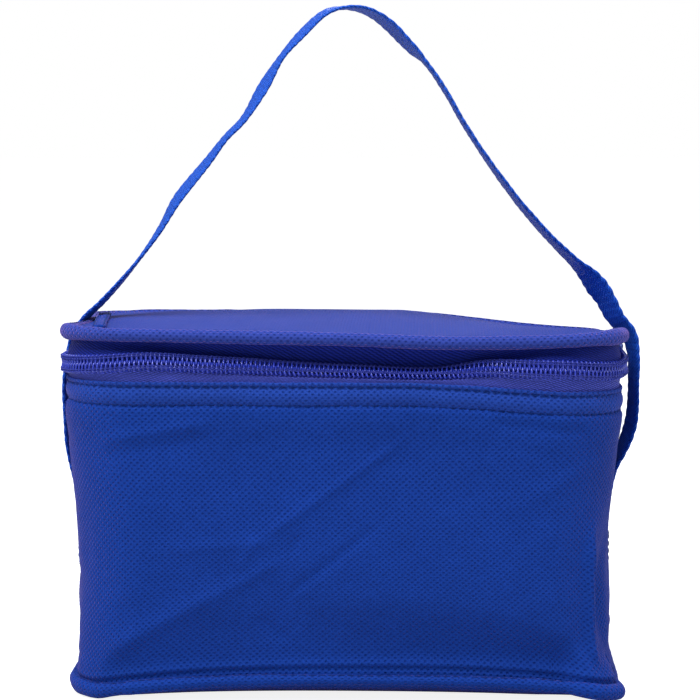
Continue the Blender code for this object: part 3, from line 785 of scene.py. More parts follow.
def makeBottomRoll():
    columns, sides = bottomRoll["columns"], bottomRoll["sides"]
    t = wholeTurn(columns)
    x, y, nx, ny = outline(t, bottomRoll["halfWidth"], bottomRoll["halfDepth"], bottomRoll["corner"])
    lumps = 0.10 * clothNoise(x, y, 0 * x, 0.012, 11) + 0.05 * clothNoise(x, y, 0 * x, 0.005, 12)
    atCorner = smoothStep(np.minimum(np.abs(nx), np.abs(ny)), 0.15, 0.6)
    thin = 0.26 * hump(x, 0.012, 0.062) * smoothStep(-ny, 0.5, 1.0)
    radius = bottomRoll["radius"] * (1 + lumps + 0.16 * atCorner - thin)
    flare = 0.0062 * atCorner * (x > 0) * (y < 0)
    a = np.arange(sides)[:, None] / sides * 2 * np.pi
    ripple = 1 + 0.05 * clothNoise(x[None, :] + 0 * a, y[None, :] + 0 * a, 0.004 * a + 0 * x, 0.004, 13)
    out = (radius * ripple) * np.cos(a) + flare
    up = (radius * ripple) * np.sin(a) * 1.02
    centreZ = np.maximum(archAt(t) + bottomRoll["radius"] * (1 - thin), radius * 1.08)
    points = np.stack((x + nx * out, y + ny * out, centreZ + up), -1)
    points[..., 2] = np.maximum(points[..., 2], 0.0)
    around = np.arange(sides + 1) / sides * 2 * np.pi * bottomRoll["radius"]
    piece = gridPiece("bottomSeamRoll", points, turnUv(columns, around), closeColumns=True, closeRows=True)
    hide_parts("bottom_seam_roll")
    dress(piece, "shell", "bag")
    line = np.stack((x + nx * 0.0008, y + ny * 0.0008, centreZ + radius * 0.97), -1)
    up = np.stack((nx * 0.25, ny * 0.25, np.full_like(nx, 0.95)), -1)
    row = stitchesRound("bottomSeamThread", line, up, 0.0026, 0.0009, 0.00016)
    dress(row, "thread", "bag")


def bottomLayer(name, drop, inset, thickness, rings, columns, crinkle=0.0):
    # a sheet inside the seam roll: level with the roll at its edge and resting on the floor in the middle
    t = wholeTurn(columns)
    share = 1 - np.linspace(0, 1, rings) ** 1.1 * 0.985
    x, y = outline(t, bottomRoll["halfWidth"] - inset, bottomRoll["halfDepth"] - inset,
                   bottomRoll["corner"] - inset * 0.6)[:2]
    px, py = x[None, :] * share[:, None], y[None, :] * share[:, None]
    z = drop + archAt(t)[None, :] * share[:, None] ** 7
    z = z + crinkle * (clothNoise(px, py, 0 * px, 0.011, 21) + 0.5 * clothNoise(px, py, 0 * px, 0.005, 22))
    piece = discPiece(name, np.stack((px, py, z), -1), np.stack((px, py), -1))
    return thicken(piece, thickness, 1.0)


def makeBottom():
    makeBottomRoll()
    panel = bottomLayer("bottomPanel", 0.0002, 0.0004, 0.0006, 22, 220)
    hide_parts("bottom_panel")
    dress(panel, "shell", "bag")
    foam = bottomLayer("bottomFoam", 0.0011, 0.0046, 0.0028, 12, 120)
    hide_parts("bottom_foam")
    dress(foam, "foam", "bag")
    lining = bottomLayer("bottomLining", 0.0046, 0.0046, 0.0004, 40, 260, crinkle=0.00045)
    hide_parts("bottom_lining")
    dress(lining, "foil", "bag")
    return panel, lining


bottomPanel, bottomLining = makeBottom()
print("bottom made")

# hem round the mouth

def makeHem():
    # cloth folded over the wall's top edge: down the outside in two puffs, and back up inside
    profile = np.array([  # height above the lower seam, outwards
        (-0.0004, 0.00035), (0.0006, 0.00085), (0.0016, 0.00130), (0.0030, 0.00160), (0.0042, 0.00160),
        (0.0054, 0.00130), (0.0061, 0.00095), (0.0065, 0.00080), (0.0069, 0.00100), (0.0074, 0.00145),
        (0.0079, 0.00150), (0.0083, 0.00115), (0.0084, 0.00060), (0.0083, 0.00000), (0.0080, -0.00070),
        (0.0070, -0.00110), (0.0050, -0.00120), (0.0030, -0.00120), (0.0010, -0.00110), (-0.0006, -0.00070),
        (-0.0008, -0.00015)])
    share = np.linspace(0, len(profile) - 1, 41)
    height = np.interp(share, np.arange(len(profile)), profile[:, 0])
    out = np.interp(share, np.arange(len(profile)), profile[:, 1])
    t = wholeTurn(hem["columns"])
    base = hemSeam(t, hem["lower"])
    x, y, nx, ny = mouthOutline(t)
    lump = 0.00016 * clothNoise(x, y, 0 * x, 0.016, 31) + 0.00010 * clothNoise(x, y, 0 * x, 0.006, 32)
    uneven = clothNoise(x[None, :], y[None, :], height[:, None], 0.009, 33)
    outwards = out[:, None] * (1 + 0.12 * uneven) + lump[None, :]
    pull = 0.00012 * np.cos(2 * np.pi * t * aroundLength / (hem["threadLength"] + hem["threadGap"]))
    nearSeam = hump(height, 0.0065, 0.0007) + hump(height, -0.0002, 0.0009)
    outwards = outwards + nearSeam[:, None] * pull[None, :]
    points = mouthPoint(t[None, :], outwards + 0.0001, base[None, :] + height[:, None])
    points[..., 2] += 0.0002 * clothNoise(points[..., 0], points[..., 1], 0 * points[..., 0], 0.014, 34)
    steps = np.hypot(np.diff(height, prepend=height[0]), np.diff(out, prepend=out[0]))
    up = np.concatenate((np.cumsum(steps), [0.021]))
    piece = gridPiece("rimBand", points, turnUv(hem["columns"], up + 0.11), closeColumns=True, closeRows=True)
    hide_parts("rim_band")
    # lighter copy of the shell cloth: painted light on the hem
    dress(piece, "shellHemPaintedLight", "bag")
    outDirection = np.stack((nx, ny, 0 * nx), -1)
    for name, above, depth in (("hemThreadUpper", 0.0065, 0.00108), ("hemThreadLower", -0.0001, 0.00075)):
        line = mouthPoint(t, depth, base + above)
        row = stitchesRound(name, line, outDirection, hem["threadLength"], hem["threadGap"],
                            hem["threadRadius"])
        dress(row, "thread", "bag")


makeHem()
print("hem made")

# zip: tapes, two rows of coil, thread

zipChain = {
    "start": runEnds[2] / aroundLength,
    "end": runEnds[7] / aroundLength,
    "height": 0.1230,
    "pitch": 0.00165,
    "rowCentre": 0.00142,
    "halfAcross": 0.00178,
    "halfDeep": 0.00085,
    "wire": 0.00035,
    "stepsPerTurn": 14,
}
# how the chain lies along the front: x, height, and how far it is laid back under the lid in degrees
chainLie = [(-0.1030, 0.1232, 0), (-0.0890, 0.1243, 6), (-0.0710, 0.1253, 20), (-0.0520, 0.1241, 34),
            (-0.0340, 0.1230, 46), (-0.0160, 0.1218, 58), (0.0060, 0.1209, 66), (0.0380, 0.1206, 66),
            (0.0530, 0.1228, 38), (0.0680, 0.1233, 12), (0.0800, 0.1233, 3), (0.0930, 0.1223, 0),
            (0.1030, 0.1217, 0)]


def chainFrame(t):
    # middle of the chain on the tapes' outer face, the way up across it and the way out of it
    x, y, nx, ny = mouthOutline(t)
    lie = np.array(chainLie)
    height = curveThrough(x, lie[:, [0, 1]])
    tilt = np.radians(np.clip(curveThrough(x, lie[:, [0, 2]]), 0, 75)) * (ny < -0.3)
    backwards = np.where(x < 0, smoothStep(y, -0.045, 0.020), smoothStep(y, -0.0545, -0.0415))
    z = height + (zipChain["height"] - height) * backwards
    z = z + 0.00015 * clothNoise(x, y, 0 * x, 0.035, 41)
    half = zipChain["rowCentre"] + zipChain["halfAcross"]
    out = 0.00085 - (half + 0.0010) * np.sin(tilt)
    centre = np.stack((x + nx * out, y + ny * out, z), -1)
    up = np.stack((-nx * np.sin(tilt), -ny * np.sin(tilt), np.cos(tilt)), -1)
    outward = np.stack((nx * np.cos(tilt), ny * np.cos(tilt), np.sin(tilt)), -1)
    return centre, up, outward


def lidSag(x, y):
    # the lid has sunk a little along the back and most at its right back corner
    right = smoothStep(x, 0.012, 0.090)
    return 0.0020 * smoothStep(y, 0.020, 0.069) * (1 - right) + 0.0080 * right * smoothStep(y, -0.052, 0.040)


def sagPull(sag):
    # how far the lid draws inwards where it has sunk
    return 0.0030 * smoothStep(sag, 0.0015, 0.0070)


def strapPress(x, y):
    # how far the strap pushes the lid's left edge in
    return 0.0034 * hump(y, -0.002, 0.024) * smoothStep(-x, 0.0975, 0.103)


rollLevel = 0.1345  # height of the middle of the lid's seam roll at the back
rollLine = [(-0.1060, 0.1355), (-0.0880, 0.1354), (-0.0710, 0.1352), (-0.0340, 0.1347), (0.0060, 0.1339),
            (0.0390, 0.1328), (0.0600, 0.1330), (0.0750, 0.1334), (0.0930, 0.1340), (0.1060, 0.1340)]


def rollHeightAt(x, y):
    # height of the middle of the lid's seam roll; it follows the front's wave and levels off towards the back
    front = 1 - smoothStep(y, -0.060, 0.010)
    return rollLevel + (curveThrough(x, rollLine) - rollLevel) * front


def makeCoilRow(name, side, node, body):
    length = (zipChain["end"] - zipChain["start"]) * aroundLength
    turns = int(length / zipChain["pitch"]) - 1
    steps = zipChain["stepsPerTurn"]
    phase = np.arange(turns * steps) / steps
    whole, part = np.floor(phase), phase % 1.0
    advance = whole + smoothStep(part, 0.45, 1.0) + (0.5 if side > 0 else 0.0)
    t = zipChain["start"] + (advance + 0.3) * zipChain["pitch"] / aroundLength
    centre, up, outward = chainFrame(t)
    angle = 2 * np.pi * part
    across = np.cos(angle - 0.35)
    across = np.sign(across) * np.abs(across) ** 0.8
    deep = np.sin(angle - 0.35)
    deep = np.sign(deep) * np.abs(deep) ** 0.9
    w = side * (zipChain["rowCentre"] - across * zipChain["halfAcross"])
    d = zipChain["halfDeep"] + zipChain["wire"] + 0.0001 + deep * zipChain["halfDeep"]
    line = centre + up * w[:, None] + outward * d[:, None]
    along = np.cross(up, outward) * -1.0
    sideA, sideB = frameAlong(line, along)
    swell = zipChain["wire"] * (1 + 0.22 * hump(across, 1.0, 0.25))
    piece = tubes(name, line[None], sideA[None], sideB[None], swell[None], sides=7)
    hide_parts(node)
    dress(piece, "coil", body)


def makeCoilThread(name, side, body):
    length = (zipChain["end"] - zipChain["start"]) * aroundLength
    turns = int(length / zipChain["pitch"]) - 1
    phase = np.arange(turns * 6) / 6
    t = zipChain["start"] + (phase + 0.55 + (0.5 if side > 0 else 0.0)) * zipChain["pitch"] / aroundLength
    centre, up, outward = chainFrame(t)
    lines = []
    for away in (0.0019, 0.0027):
        deep = 2 * zipChain["halfDeep"] + 2 * zipChain["wire"] + 0.00008
        wave = 0.00020 * np.cos(2 * np.pi * phase)
        lines.append(centre + up * (side * (away + 0.00012 * np.sin(2 * np.pi * phase)))[:, None]
                     + outward * (deep + wave)[:, None])
    lines = np.array(lines)
    sideA, sideB = frameAlong(lines, np.broadcast_to(outward, lines.shape))
    piece = tubes(name, lines, sideA, sideB, 0.00021, sides=6)
    dress(piece, "coilThread", body)


def makeTapes():
    columns = 420
    t = np.linspace(zipChain["start"] - 0.001, zipChain["end"] + 0.001, columns)
    centre, up, outward = chainFrame(t)
    along = (t - t[0]) * aroundLength
    x, y, nx, ny = mouthOutline(t)
    # lower tape: from behind the hem up to its edge between the coil rows
    low = mouthPoint(t, -0.0002, hemSeam(t, 0.1090))
    rimTop = mouthPoint(t, 0.0002, hemSeam(t, 0.1176))
    edge = centre - up * 0.00015
    under = centre - up * 0.0036
    rows = []
    for s in np.linspace(0, 1, 6):
        rows.append(low + (rimTop - low) * s)
    for s in np.linspace(0.15, 1, 8):
        rows.append(rimTop + (under - rimTop) * s)
    for s in np.linspace(0.2, 1, 5):
        rows.append(under + (edge - under) * s)
    points = np.array(rows)
    ripple = 0.00012 * clothNoise(points[..., 0], points[..., 1], points[..., 2], 0.007, 51)
    points[..., 0] += ripple * nx
    points[..., 1] += ripple * ny
    heights = np.linspace(0, 0.0165, len(rows))
    tape = gridPiece("lowerZipTape", points, uvGrid(along, heights))
    thicken(tape, 0.0004)
    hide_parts("lower_zip_tape")
    dress(tape, "tape", "bag")
    # upper tape: from its edge between the rows up to the seam under the lid's roll
    sag = lidSag(x, y)
    seam = mouthPoint(t, -0.0010 - sagPull(sag) - strapPress(x, y), rollHeightAt(x, y) - 0.0012 - sag)
    edge = centre + up * 0.00015
    above = centre + up * 0.0036
    bow = -0.0012 * smoothStep(-ny, 0.3, 1.0)
    rows = [edge + (above - edge) * s for s in np.linspace(0, 0.85, 5)]
    for s in np.linspace(0, 1, 12):
        point = above + (seam - above) * s
        swell = bow * np.sin(np.pi * s) + 0.0004 * np.sin(np.pi * s) * clothNoise(x, y, 0 * x + s, 0.020, 52)
        point = point + np.stack((nx * swell, ny * swell, 0 * nx), -1)
        rows.append(point)
    points = np.array(rows)
    tape = gridPiece("upperZipTape", points, uvGrid(along, np.linspace(0, 0.0125, len(rows))))
    thicken(tape, 0.0004)
    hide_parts("upper_zip_tape")
    # the upper tape wears the darker copy of the twill: painted shade under the lid's roll
    dress(tape, "tapeAbovePaintedShade", "lid")


makeTapes()
makeCoilRow("lowerZipCoil", -1, "lower_zip_coil", "bag")
makeCoilRow("upperZipCoil", 1, "upper_zip_coil", "lid")
makeCoilThread("lowerCoilThread", -1, "bag")
makeCoilThread("upperCoilThread", 1, "lid")
print("zip made")

# lid

lid = {
    "rollHalfWidth": 0.1032,
    "rollHalfDepth": 0.0690,
    "rollCorner": 0.0270,
    "rollRadius": 0.0024,
    "edgeTop": 0.1359,
    "rise": 0.0027,
    "columns": 600,
}


def sinkIn(points):
    # lowers and pulls in the lid's right back part, and its left edge where the strap presses on it
    sag = lidSag(points[..., 0], points[..., 1])
    pull = sagPull(sag)
    press = strapPress(points[..., 0], points[..., 1])
    out = points.copy()
    out[..., 2] -= sag
    out[..., 0] -= pull * smoothStep(points[..., 0], 0.05, 0.10)
    out[..., 0] += press
    out[..., 2] -= 0.35 * press
    out[..., 1] -= pull * 0.5 * smoothStep(points[..., 1], 0.04, 0.069)
    return out


def lidTop(x, y, halfWidth, halfDepth):
    acrossX = 1 - np.clip(np.abs(x) / halfWidth, 0, 1) ** 2.6
    acrossY = 1 - np.clip(np.abs(y) / halfDepth, 0, 1) ** 2.6
    return lid["edgeTop"] - rollLevel + rollHeightAt(x, y) + lid["rise"] * (acrossX * acrossY)


def lidLayer(name, drop, inset, thickness, rings, columns, wrinkle, crinkle=0.0, edgeLift=0.55):
    halfWidth, halfDepth = lid["rollHalfWidth"] - inset, lid["rollHalfDepth"] - inset
    t = wholeTurn(columns)
    share = 1 - np.linspace(0, 1, rings) ** 1.15 * 0.99
    x, y = outline(t, halfWidth, halfDepth, lid["rollCorner"] - inset)[:2]
    px, py = x[None, :] * share[:, None], y[None, :] * share[:, None]
    edge = 1 - smoothStep(1 - share[:, None], 0.0, 0.12)
    z = lidTop(px, py, halfWidth, halfDepth) - drop * (1 - edgeLift * edge) - 0.0004 * edge
    z = z + wrinkle * (clothNoise(px, py, 0 * px, 0.034, 61) + 0.45 * clothNoise(px, py, 0 * px, 0.013, 62))
    if crinkle:
        z = z + crinkle * (clothNoise(px, py, 0 * px, 0.011, 63)
                           + 0.5 * clothNoise(px, py, 0 * px, 0.005, 64))
    piece = discPiece(name, sinkIn(np.stack((px, py, z), -1)), np.stack((px, py), -1))
    return thicken(piece, thickness)


def makeLidRoll():
    columns, sides = lid["columns"], 20
    t = wholeTurn(columns)
    x, y, nx, ny = outline(t, lid["rollHalfWidth"], lid["rollHalfDepth"], lid["rollCorner"])
    frontLeft = np.exp(-(((x + 0.1000) / 0.010) ** 2) - ((y + 0.052) / 0.012) ** 2)
    frontRight = np.exp(-(((x - 0.1000) / 0.009) ** 2) - ((y + 0.052) / 0.012) ** 2)
    lumps = 0.07 * clothNoise(x, y, 0 * x, 0.018, 71) + 0.05 * clothNoise(x, y, 0 * x, 0.007, 72)
    radius = lid["rollRadius"] * (1 + lumps + 0.20 * frontLeft + 0.24 * frontRight)
    a = np.arange(sides)[:, None] / sides * 2 * np.pi
    ripple = 1 + 0.045 * clothNoise(x[None, :] + 0 * a, y[None, :] + 0 * a, 0.004 * a + 0 * x, 0.0045, 73)
    out = radius * ripple * np.cos(a) - 0.0002
    height = rollHeightAt(x, y) + radius * ripple * np.sin(a) * 1.04
    height = height + 0.0002 * clothNoise(x, y, 0 * x, 0.05, 74)
    points = sinkIn(np.stack((x + nx * out, y + ny * out, height), -1))
    around = np.arange(sides + 1) / sides * 2 * np.pi * lid["rollRadius"]
    piece = gridPiece("lidSeamRoll", points, turnUv(columns, around), closeColumns=True, closeRows=True)
    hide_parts("lid_seam_roll")
    # lighter copy of the shell cloth: painted light on the lid's roll
    dress(piece, "shellRollPaintedLight", "lid")
    angle = math.radians(116)
    line = np.stack((x + nx * radius * math.cos(angle), y + ny * radius * math.cos(angle),
                     rollHeightAt(x, y) + radius * 1.04 * math.sin(angle)), -1)
    line = sinkIn(line)
    up = np.stack((nx * math.cos(angle), ny * math.cos(angle), np.full_like(nx, math.sin(angle))), -1)
    row = stitchesRound("lidSeamThread", line, up, 0.0026, 0.0010, 0.00018)
    dress(row, "thread", "lid")


def makeSideBand():
    # folded strip sewn on the lid near its left edge
    start, end = np.array((-0.0886, -0.0620)), np.array((-0.0962, 0.0120))
    along = end - start
    length = float(np.linalg.norm(along))
    along = along / length
    across = np.array((along[1], -along[0]))
    rows, half = 60, 0.0024
    profile = np.array([(-1.0, 0.0001), (-1.02, 0.0008), (-0.9, 0.0014), (-0.55, 0.0015), (-0.48, 0.0012),
                        (-0.4, 0.0015), (0.0, 0.0016), (0.45, 0.0015), (0.85, 0.0014), (1.0, 0.0009),
                        (1.0, 0.0001)])
    s = np.linspace(0, length, rows)
    halfWidth, halfDepth = lid["rollHalfWidth"] - 0.0006, lid["rollHalfDepth"] - 0.0006
    grid = []
    for side, height in profile:
        width = half * (1 + 0.05 * np.sin(s * 260.0))
        xy = start + s[:, None] * along + (side * width)[:, None] * across
        z = lidTop(xy[:, 0], xy[:, 1], halfWidth, halfDepth) + height
        grid.append(np.concatenate((xy, z[:, None]), 1))
    points = sinkIn(np.array(grid))
    widths = np.concatenate((profile[:, 0] * half, [0.006]))
    piece = gridPiece("lidSideBand", points, uvGrid(s, widths), closeRows=True)
    closeEnds(piece)
    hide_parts("lid_side_band")
    dress(piece, "shell", "lid")
    for number, side in ((1, 0.72), (2, -0.78)):
        xy = start + s[:, None] * along + side * half * across
        z = lidTop(xy[:, 0], xy[:, 1], halfWidth, halfDepth) + 0.0015
        line = sinkIn(np.concatenate((xy, z[:, None]), 1))
        upright = np.tile((0.0, 0.0, 1.0), (rows, 1))
        row = stitches(f"sideBandThread{number}", line, upright, 0.0026, 0.0009, 0.00024)
        dress(row, "thread", "lid")


def makeLid():
    panel = lidLayer("lidPanel", 0.0, 0.0014, 0.0006, 44, 420, 0.00030)
    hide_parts("lid_panel")
    dress(panel, "shell", "lid")
    foam = lidLayer("lidFoam", 0.0009, 0.0056, 0.0028, 14, 160, 0.0)
    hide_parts("lid_foam")
    dress(foam, "foam", "lid")
    lining = lidLayer("lidLining", 0.0046, 0.0048, 0.0004, 46, 320, 0.00020, crinkle=0.00050, edgeLift=0.12)
    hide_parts("lid_lining")
    dress(lining, "foil", "lid")
    makeLidRoll()
    makeSideBand()
    return panel, lining


lidPanel, lidLining = makeLid()
print("lid made")


# cloth that joins the lid at the back, and the zip's end tabs


def makeHingeBand():
    # runs across the back and round both back corners
    columns = 220
    t = (np.linspace(-1, 1, columns) * -(runEnds[1] + quarterTurn) / aroundLength) % 1.0
    x, y, nx, ny = mouthOutline(t)
    sag = lidSag(x, y)
    pull = sagPull(sag)
    rows = []
    for s in np.linspace(0, 1, 22):
        z = 0.1092 + (0.1326 - sag - 0.1092) * s
        out = 0.0004 + 0.0010 * np.sin(np.pi * s) ** 1.5 - 0.0006 * hump(s, 0.62, 0.09) - pull * s
        out = out + 0.0004 * np.sin(np.pi * s) * clothNoise(x, y, 0 * x + s * 0.02, 0.022, 81)
        out = out - 0.8 * np.maximum(out, 0) * (1 - smoothStep(ny, 0.02, 0.40))
        rows.append(mouthPoint(t, out, z))
    points = np.array(rows)
    across = np.linspace(0, 1, columns) * 2 * runEnds[2]
    piece = gridPiece("backHingeBand", points, uvGrid(across, np.linspace(0, 0.0234, 22)))
    thicken(piece, 0.0005)
    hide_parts("back_hinge_band")
    dress(piece, "shell")
    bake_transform(piece)


def makeZipEnd(name, side, node):
    # folded tab that covers the end of the chain just round the back corner
    centreT = (runEnds[2] if side < 0 else runEnds[7]) / aroundLength
    reach = quarterTurn * 15 / 90 / aroundLength
    before, after = (reach, 0.002) if side < 0 else (0.002, reach)
    t = np.linspace(centreT - before, centreT + after, 16)
    profile = [(0.1186, 0.0012), (0.1190, 0.0026), (0.1205, 0.0031), (0.1228, 0.0033), (0.1250, 0.0031),
               (0.1262, 0.0024), (0.1264, 0.0014), (0.1225, 0.0008)]
    points = np.array([mouthPoint(t, out, z) for z, out in profile])
    x, y = points[..., 0], points[..., 1]
    points[..., 2] += 0.0002 * clothNoise(x, y, points[..., 2], 0.006, 91)
    around = np.linspace(0, 0.016, len(profile) + 1)
    piece = gridPiece(name, points, uvGrid((t - t[0]) * aroundLength, around), closeRows=True)
    closeEnds(piece)
    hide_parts(node)
    dress(piece, "shell", "bag")


makeHingeBand()
makeZipEnd("zipEndLeft", -1, "zip_end_left")
makeZipEnd("zipEndRight", 1, "zip_end_right")
print("back band made")

# webbing strap

strap = {
    "width": 0.0180,
    "thickness": 0.0014,
    "step": 0.00055,
    "columns": 13,
    "ribPitch": 0.0029,
    "lobePitch": 0.0037,
    "lobe": 0.00085,
}

# x and z along the middle of the webbing, and its twist in degrees; from the right end over to the left end
strapRoute = [
    (0.1004, 0.0415, 0), (0.1004, 0.0520, 0), (0.1007, 0.0605, 0), (0.1016, 0.0700, -1),
    (0.1033, 0.0790, -4), (0.1063, 0.0857, -7), (0.1090, 0.0925, -9), (0.1105, 0.1000, -9),
    (0.1109, 0.1120, -8), (0.1107, 0.1225, -10), (0.1087, 0.1310, -16), (0.1036, 0.1370, -20),
    (0.1000, 0.1438, -22), (0.0966, 0.1488, -25), (0.0928, 0.1536, -20), (0.0870, 0.1592, -11),
    (0.0765, 0.1695, -8), (0.0648, 0.1832, -6), (0.0540, 0.1978, -4), (0.0454, 0.2109, -3),
    (0.0373, 0.2247, -3), (0.0300, 0.2352, -3), (0.0245, 0.2407, -11), (0.0165, 0.2488, -12),
    (0.0090, 0.2541, -8), (0.0005, 0.2561, 0), (-0.0085, 0.2543, 9), (-0.0175, 0.2464, 12),
    (-0.0255, 0.2373, 9), (-0.0325, 0.2259, 16), (-0.0400, 0.2138, 10), (-0.0472, 0.2063, 9),
    (-0.0544, 0.1970, 12), (-0.0660, 0.1828, 14), (-0.0728, 0.1712, 9), (-0.0809, 0.1598, 4),
    (-0.0886, 0.1505, 0), (-0.0961, 0.1424, -2), (-0.1016, 0.1372, -3), (-0.1062, 0.1308, -2),
    (-0.1085, 0.1240, 2), (-0.1098, 0.1130, 0), (-0.1096, 0.1000, 0), (-0.1086, 0.0860, 0),
    (-0.1059, 0.0725, 0), (-0.1038, 0.0605, 0), (-0.1038, 0.0520, 0), (-0.1040, 0.0415, 0),
]


def strapLine():
    route = np.array(strapRoute)
    knots = np.arange(len(route))
    fine = np.linspace(0, len(route) - 1, 1600)
    x = curveThrough(fine, np.stack((knots, route[:, 0]), 1))
    z = curveThrough(fine, np.stack((knots, route[:, 1]), 1))
    twist = curveThrough(fine, np.stack((knots, route[:, 2]), 1))
    along = lengthsAlong(np.stack((x, z), 1))
    s = np.arange(0, along[-1], strap["step"])
    return s, np.interp(s, along, x), np.interp(s, along, z), np.radians(np.interp(s, along, twist))


def makeStrap():
    s, x, z, twist = strapLine()
    dx, dz = np.gradient(x, s), np.gradient(z, s)
    length = np.hypot(dx, dz)
    outX, outZ = dz / length, -dx / length  # away from the middle of the arch
    widthDirection = np.stack((np.sin(twist) * outX, np.cos(twist), np.sin(twist) * outZ), -1)
    face = np.stack((np.cos(twist) * outX, -np.sin(twist), np.cos(twist) * outZ), -1)
    lobe = np.abs(np.sin(np.pi * s / strap["lobePitch"] + 1.3 * np.sin(s * 90)))
    lobeFar = np.abs(np.sin(np.pi * (s + 0.0012) / strap["lobePitch"] + 1.1 * np.sin(s * 75 + 2)))
    nearHalf = strap["width"] / 2 + strap["lobe"] * (lobe - 0.6)
    farHalf = strap["width"] / 2 + strap["lobe"] * (lobeFar - 0.6)
    rib = np.abs(np.sin(np.pi * s / strap["ribPitch"] + 0.6 * np.sin(s * 130)))
    half = strap["thickness"] / 2
    across = np.linspace(-1, 1, strap["columns"])
    rows = []
    profile = [(a, 1) for a in across] + [(a, -1) for a in across[::-1]]
    centre = np.stack((x, 0 * x, z), -1)
    lean = 0.0012 * np.sin(s * 21.0) + 0.0008 * np.sin(s * 47.0 + 1)
    centre[:, 1] += lean * smoothStep(z, 0.07, 0.12)
    for a, top in profile:
        edge = 1 - abs(a) ** 8 * 0.55
        ridge = 0.00016 * (rib - 0.5) * (1 - abs(a) ** 6)
        lift = top * (half * edge + ridge)
        reach = np.where(a < 0, a * nearHalf, a * farHalf)
        rows.append(centre + widthDirection * reach[:, None] + face * lift[:, None])
    points = np.array(rows)
    uneven = clothNoise(points[..., 0], points[..., 1], points[..., 2], 0.006, 101)
    points = points + 0.00012 * uneven[..., None]
    vAcross = np.concatenate((across * strap["width"] / 2, 0.02 + across * strap["width"] / 2, [0.03]))
    piece = gridPiece("carryStrap", points, uvGrid(s, vAcross), closeRows=True)
    closeEnds(piece)
    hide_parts("carry_strap", "strap_end_left", "strap_end_right")
    dress(piece, "webbing")
    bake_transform(piece)
    print(f"strap length {s[-1]:.3f} m")


def makeStrapThread(side):
    # a sewn box with a cross that holds each end of the strap on its side wall
    name = "strapThreadRight" if side > 0 else "strapThreadLeft"
    faceX = 0.1004 + strap["thickness"] / 2 if side > 0 else -0.1038 - strap["thickness"] / 2
    low, high, half = 0.0435, 0.0545, 0.0072
    corners = [(-half, low), (half, low), (half, high), (-half, high),
               (-half, low), (half, high), (-half, high), (half, low)]
    line = []
    for (y1, z1), (y2, z2) in zip(corners, corners[1:]):
        for share in np.linspace(0, 1, 12, endpoint=False):
            line.append((faceX, y1 + (y2 - y1) * share, z1 + (z2 - z1) * share))
    line = np.array(line)
    row = stitches(name, line, np.tile((float(side), 0.0, 0.0), (len(line), 1)), 0.0022, 0.0006, 0.00024)
    dress(row, "thread", "bag")


def makeFrayedEnd(side):
    # loose yarns at the cut end of the webbing
    name = "frayRight" if side > 0 else "frayLeft"
    x0 = 0.1004 if side > 0 else -0.1040
    rng = np.random.default_rng(7 if side > 0 else 8)
    lines = []
    for y in np.linspace(-0.0086, 0.0086, 34):
        reach = rng.uniform(0.0008, 0.0026)
        lean, push = rng.uniform(-0.0008, 0.0008), rng.uniform(-0.0004, 0.0007)
        share = np.linspace(0, 1, 6)
        lines.append(np.stack((x0 + side * push * share**2, y + lean * share**2, 0.0420 - reach * share), -1))
    lines = np.array(lines)
    sideA, sideB = frameAlong(lines, np.broadcast_to((1.0, 0.0, 0.0), lines.shape))
    piece = tubes(name, lines, sideA, sideB, 0.00020, sides=5)
    dress(piece, "thread", "bag")


makeStrap()
for side in (1, -1):
    makeStrapThread(side)
    makeFrayedEnd(side)
print("strap made")

# zip slider and pull tab

slider = {
    "y": 0.0345,
    "z": 0.1230,
    "outer": 0.1056,
    "plate": 0.0012,
    "halfLength": 0.00575,
    "halfHeight": 0.0043,
}


def plateFromOutline(outlines, thickness, bevel):
    # a flat plate from closed outlines; outlines inside another are holes
    curve = bpy.data.curves.new("plateOutline", "CURVE")
    curve.dimensions = "2D"
    curve.fill_mode = "BOTH"
    curve.extrude = thickness / 2 - bevel
    curve.bevel_depth = bevel
    curve.bevel_resolution = 2
    curve.offset = -bevel
    for points in outlines:
        spline = curve.splines.new("POLY")
        spline.points.add(len(points) - 1)
        for point, (a, b) in zip(spline.points, points):
            point.co = (a, b, 0.0, 1.0)
        spline.use_cyclic_u = True
    holder = bpy.data.objects.new("plateHolder", curve)
    bpy.context.scene.collection.objects.link(holder)
    bpy.context.view_layer.update()
    mesh = bpy.data.meshes.new_from_object(holder.evaluated_get(bpy.context.evaluated_depsgraph_get()))
    bpy.data.objects.remove(holder)
    return mesh


def roundedOutline(points, radius, steps=5):
    # an outline with its corners rounded by short arcs
    result = []
    count = len(points)
    for i in range(count):
        here = Vector(points[i])
        back = Vector(points[i - 1]) - here
        ahead = Vector(points[(i + 1) % count]) - here
        reach = min(radius, back.length * 0.48, ahead.length * 0.48)
        a, b = here + back.normalized() * reach, here + ahead.normalized() * reach
        for k in range(steps + 1):
            s = k / steps
            result.append(tuple(a.lerp(here, s).lerp(here.lerp(b, s), s)))
    return result


def joinMeshes(name, parts):
    # parts are (mesh, function that places one of its points)
    mesh = bmesh.new()
    for data, place in parts:
        start = len(mesh.verts)
        mesh.from_mesh(data)
        mesh.verts.ensure_lookup_table()
        for vertex in mesh.verts[start:]:
            vertex.co = place(vertex.co)
        bpy.data.meshes.remove(data)
    bmesh.ops.remove_doubles(mesh, verts=mesh.verts, dist=0.000002)
    bmesh.ops.recalc_face_normals(mesh, faces=mesh.faces)
    data = bpy.data.meshes.new(name)
    mesh.to_mesh(data)
    mesh.free()
    data.shade_smooth()
    data.set_sharp_from_angle(angle=math.radians(35))
    piece = bpy.data.objects.new(name, data)
    bpy.context.scene.collection.objects.link(piece)
    return piece


